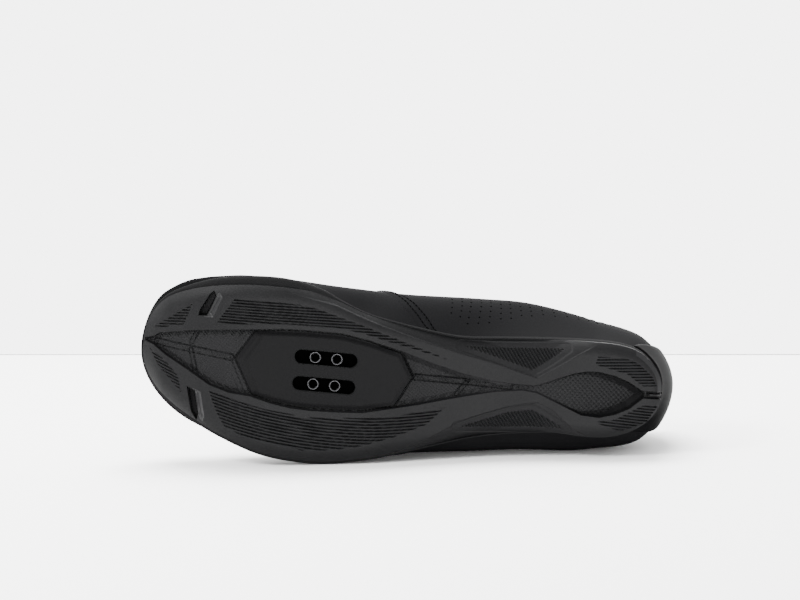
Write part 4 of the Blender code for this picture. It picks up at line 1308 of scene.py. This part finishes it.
def camera():
    """Long lens at the photograph's angle, rolled a little as the shoe lies in it."""
    turn, rise, roll = (math.radians(angle) for angle in CAMERA_ANGLES)
    ahead = Vector((math.sin(turn) * math.cos(rise), math.cos(turn) * math.cos(rise), -math.sin(rise)))
    right = ahead.cross(Vector((0, 0, 1))).normalized()
    up = right.cross(ahead)
    right, up = right * math.cos(roll) + up * math.sin(roll), up * math.cos(roll) - right * math.sin(roll)
    data = bpy.data.cameras.new("camera")
    data.sensor_width = SENSOR
    data.lens = CAMERA_SCALE * CAMERA_DISTANCE * SENSOR / PICTURE_WIDTH
    data.clip_end = 20.0
    eye = bpy.data.objects.new("camera", data)
    place = Matrix.Translation(Vector(CAMERA_TARGET) - ahead * CAMERA_DISTANCE)
    eye.matrix_world = place @ Matrix((right, up, -ahead)).transposed().to_4x4()
    bpy.context.scene.collection.objects.link(eye)
    bpy.context.scene.camera = eye


def plain(name, colour, roughness=0.9, specular=0.1):
    made = bpy.data.materials.new(name)
    made.use_nodes = True
    shader = made.node_tree.nodes["Principled BSDF"]
    shader.inputs["Base Color"].default_value = (*colour, 1)
    shader.inputs["Roughness"].default_value = roughness
    shader.inputs["Specular IOR Level"].default_value = specular
    return made


# Table: far edge and its slant, half the width, the edge's grey band of painted shade and its lift,
# and the near edge, in metres; then the glow of the surroundings behind the table and in front of it
TABLE_EDGE = 0.378
TABLE_SLANT = -0.1886
TABLE_HALF = 4.0
EDGE_SHADE_BAND = 0.006
EDGE_LIFT = 0.0004
TABLE_FRONT = -0.9
BACKDROP = 5.5
FRONT_GLOW = 1.0

# Lights: place, target and size in metres, and power in watts
LIGHTS = {
    "overhead": ((-0.1, 0.40, 1.2), (0, 0, 0), (0.9, 0.5), 62),
    "key": ((-1.0, -0.55, 1.0), (0, 0, 0.05), (0.5, 0.4), 30),
    "fill": ((0.1, -1.25, 0.05), (0, 0, 0.04), (1.6, 0.1), 25),
}


def board(name, corners, made):
    mesh = bpy.data.meshes.new(name)
    mesh.from_pydata(corners, [], [(0, 1, 2, 3)])
    mesh.materials.append(made)
    obj = bpy.data.objects.new(name, mesh)
    bpy.context.scene.collection.objects.link(obj)
    return obj


def stage():
    """White table with a slanted far edge, and a grey band of painted shade along it."""
    white = plain("floor", (0.95, 0.95, 0.945))
    lean = TABLE_SLANT * TABLE_HALF
    sides = [
        (-TABLE_HALF, TABLE_FRONT, 0), (TABLE_HALF, TABLE_FRONT, 0),
        (TABLE_HALF, TABLE_EDGE + lean, 0), (-TABLE_HALF, TABLE_EDGE - lean, 0),
    ]
    board("floor", sides, white)
    # grey band along the far edge: painted shade
    shade = plain("floor_edge_painted_shade", (0.80, 0.80, 0.80))
    near, far = TABLE_EDGE - EDGE_SHADE_BAND, TABLE_EDGE
    band = [
        (-TABLE_HALF, near - lean, EDGE_LIFT), (TABLE_HALF, near + lean, EDGE_LIFT),
        (TABLE_HALF, far + lean, EDGE_LIFT), (-TABLE_HALF, far - lean, EDGE_LIFT),
    ]
    board("floor_edge_painted_shade", band, shade)


def area_light(name, place, target, size, power):
    data = bpy.data.lights.new(name, "AREA")
    data.shape = "RECTANGLE"
    data.size, data.size_y = size
    data.energy = power
    lamp = bpy.data.objects.new(name, data)
    lamp.location = place
    lamp.rotation_euler = (Vector(target) - Vector(place)).to_track_quat("-Z", "Y").to_euler()
    bpy.context.scene.collection.objects.link(lamp)


def light():
    """Pale surroundings, dimmer on the camera's side, with a soft light overhead and a key."""
    world = bpy.data.worlds.new("studio")
    world.use_nodes = True
    tree = world.node_tree
    back = tree.nodes["Background"]
    place = node(tree, "ShaderNodeTexCoord", (-800, 0))
    split = node(tree, "ShaderNodeSeparateXYZ", (-600, 0))
    ramp = node(tree, "ShaderNodeMapRange", (-400, 0))
    ramp.inputs["From Min"].default_value = -0.35
    ramp.inputs["From Max"].default_value = 0.8
    ramp.inputs["To Min"].default_value = FRONT_GLOW
    ramp.inputs["To Max"].default_value = BACKDROP
    tree.links.new(place.outputs["Generated"], split.inputs["Vector"])
    tree.links.new(split.outputs["Y"], ramp.inputs["Value"])
    tree.links.new(ramp.outputs["Result"], back.inputs["Strength"])
    back.inputs["Color"].default_value = (1, 1, 1, 1)
    bpy.context.scene.world = world
    for name, row in LIGHTS.items():
        area_light(name, *row)


def main():
    """Dresses the shoe, and then sets the table, the lights and the camera."""
    camera()
    stage()
    light()
    leather, thread, nylon = (finish(name) for name in ("upper_leather", "thread", "sole_nylon"))
    # near-black finish: painted shade for the pinholes, the slots' insides and the nut plate deep behind them
    painted_shade = plain("painted_shade_black", (0.0005, 0.0005, 0.0005), specular=0.0)
    make_tread((finish("tread_rubber"), finish("tread_panel_and_painted_shade"), finish("tread_facet_painted_highlight"), painted_shade))
    make_plate(nylon)
    make_upper(leather)
    make_counter(finish("moulded_plastic"))
    make_insole(finish("insole_foam"))
    make_tongue(finish("tongue_cloth"))
    make_straps(finish("strap_cloth"), thread)
    make_vamp_edges(leather)
    make_seam_stitches(thread)
    make_pinholes(painted_shade)
    make_nuts(painted_shade, finish("cleat_steel"))


main()
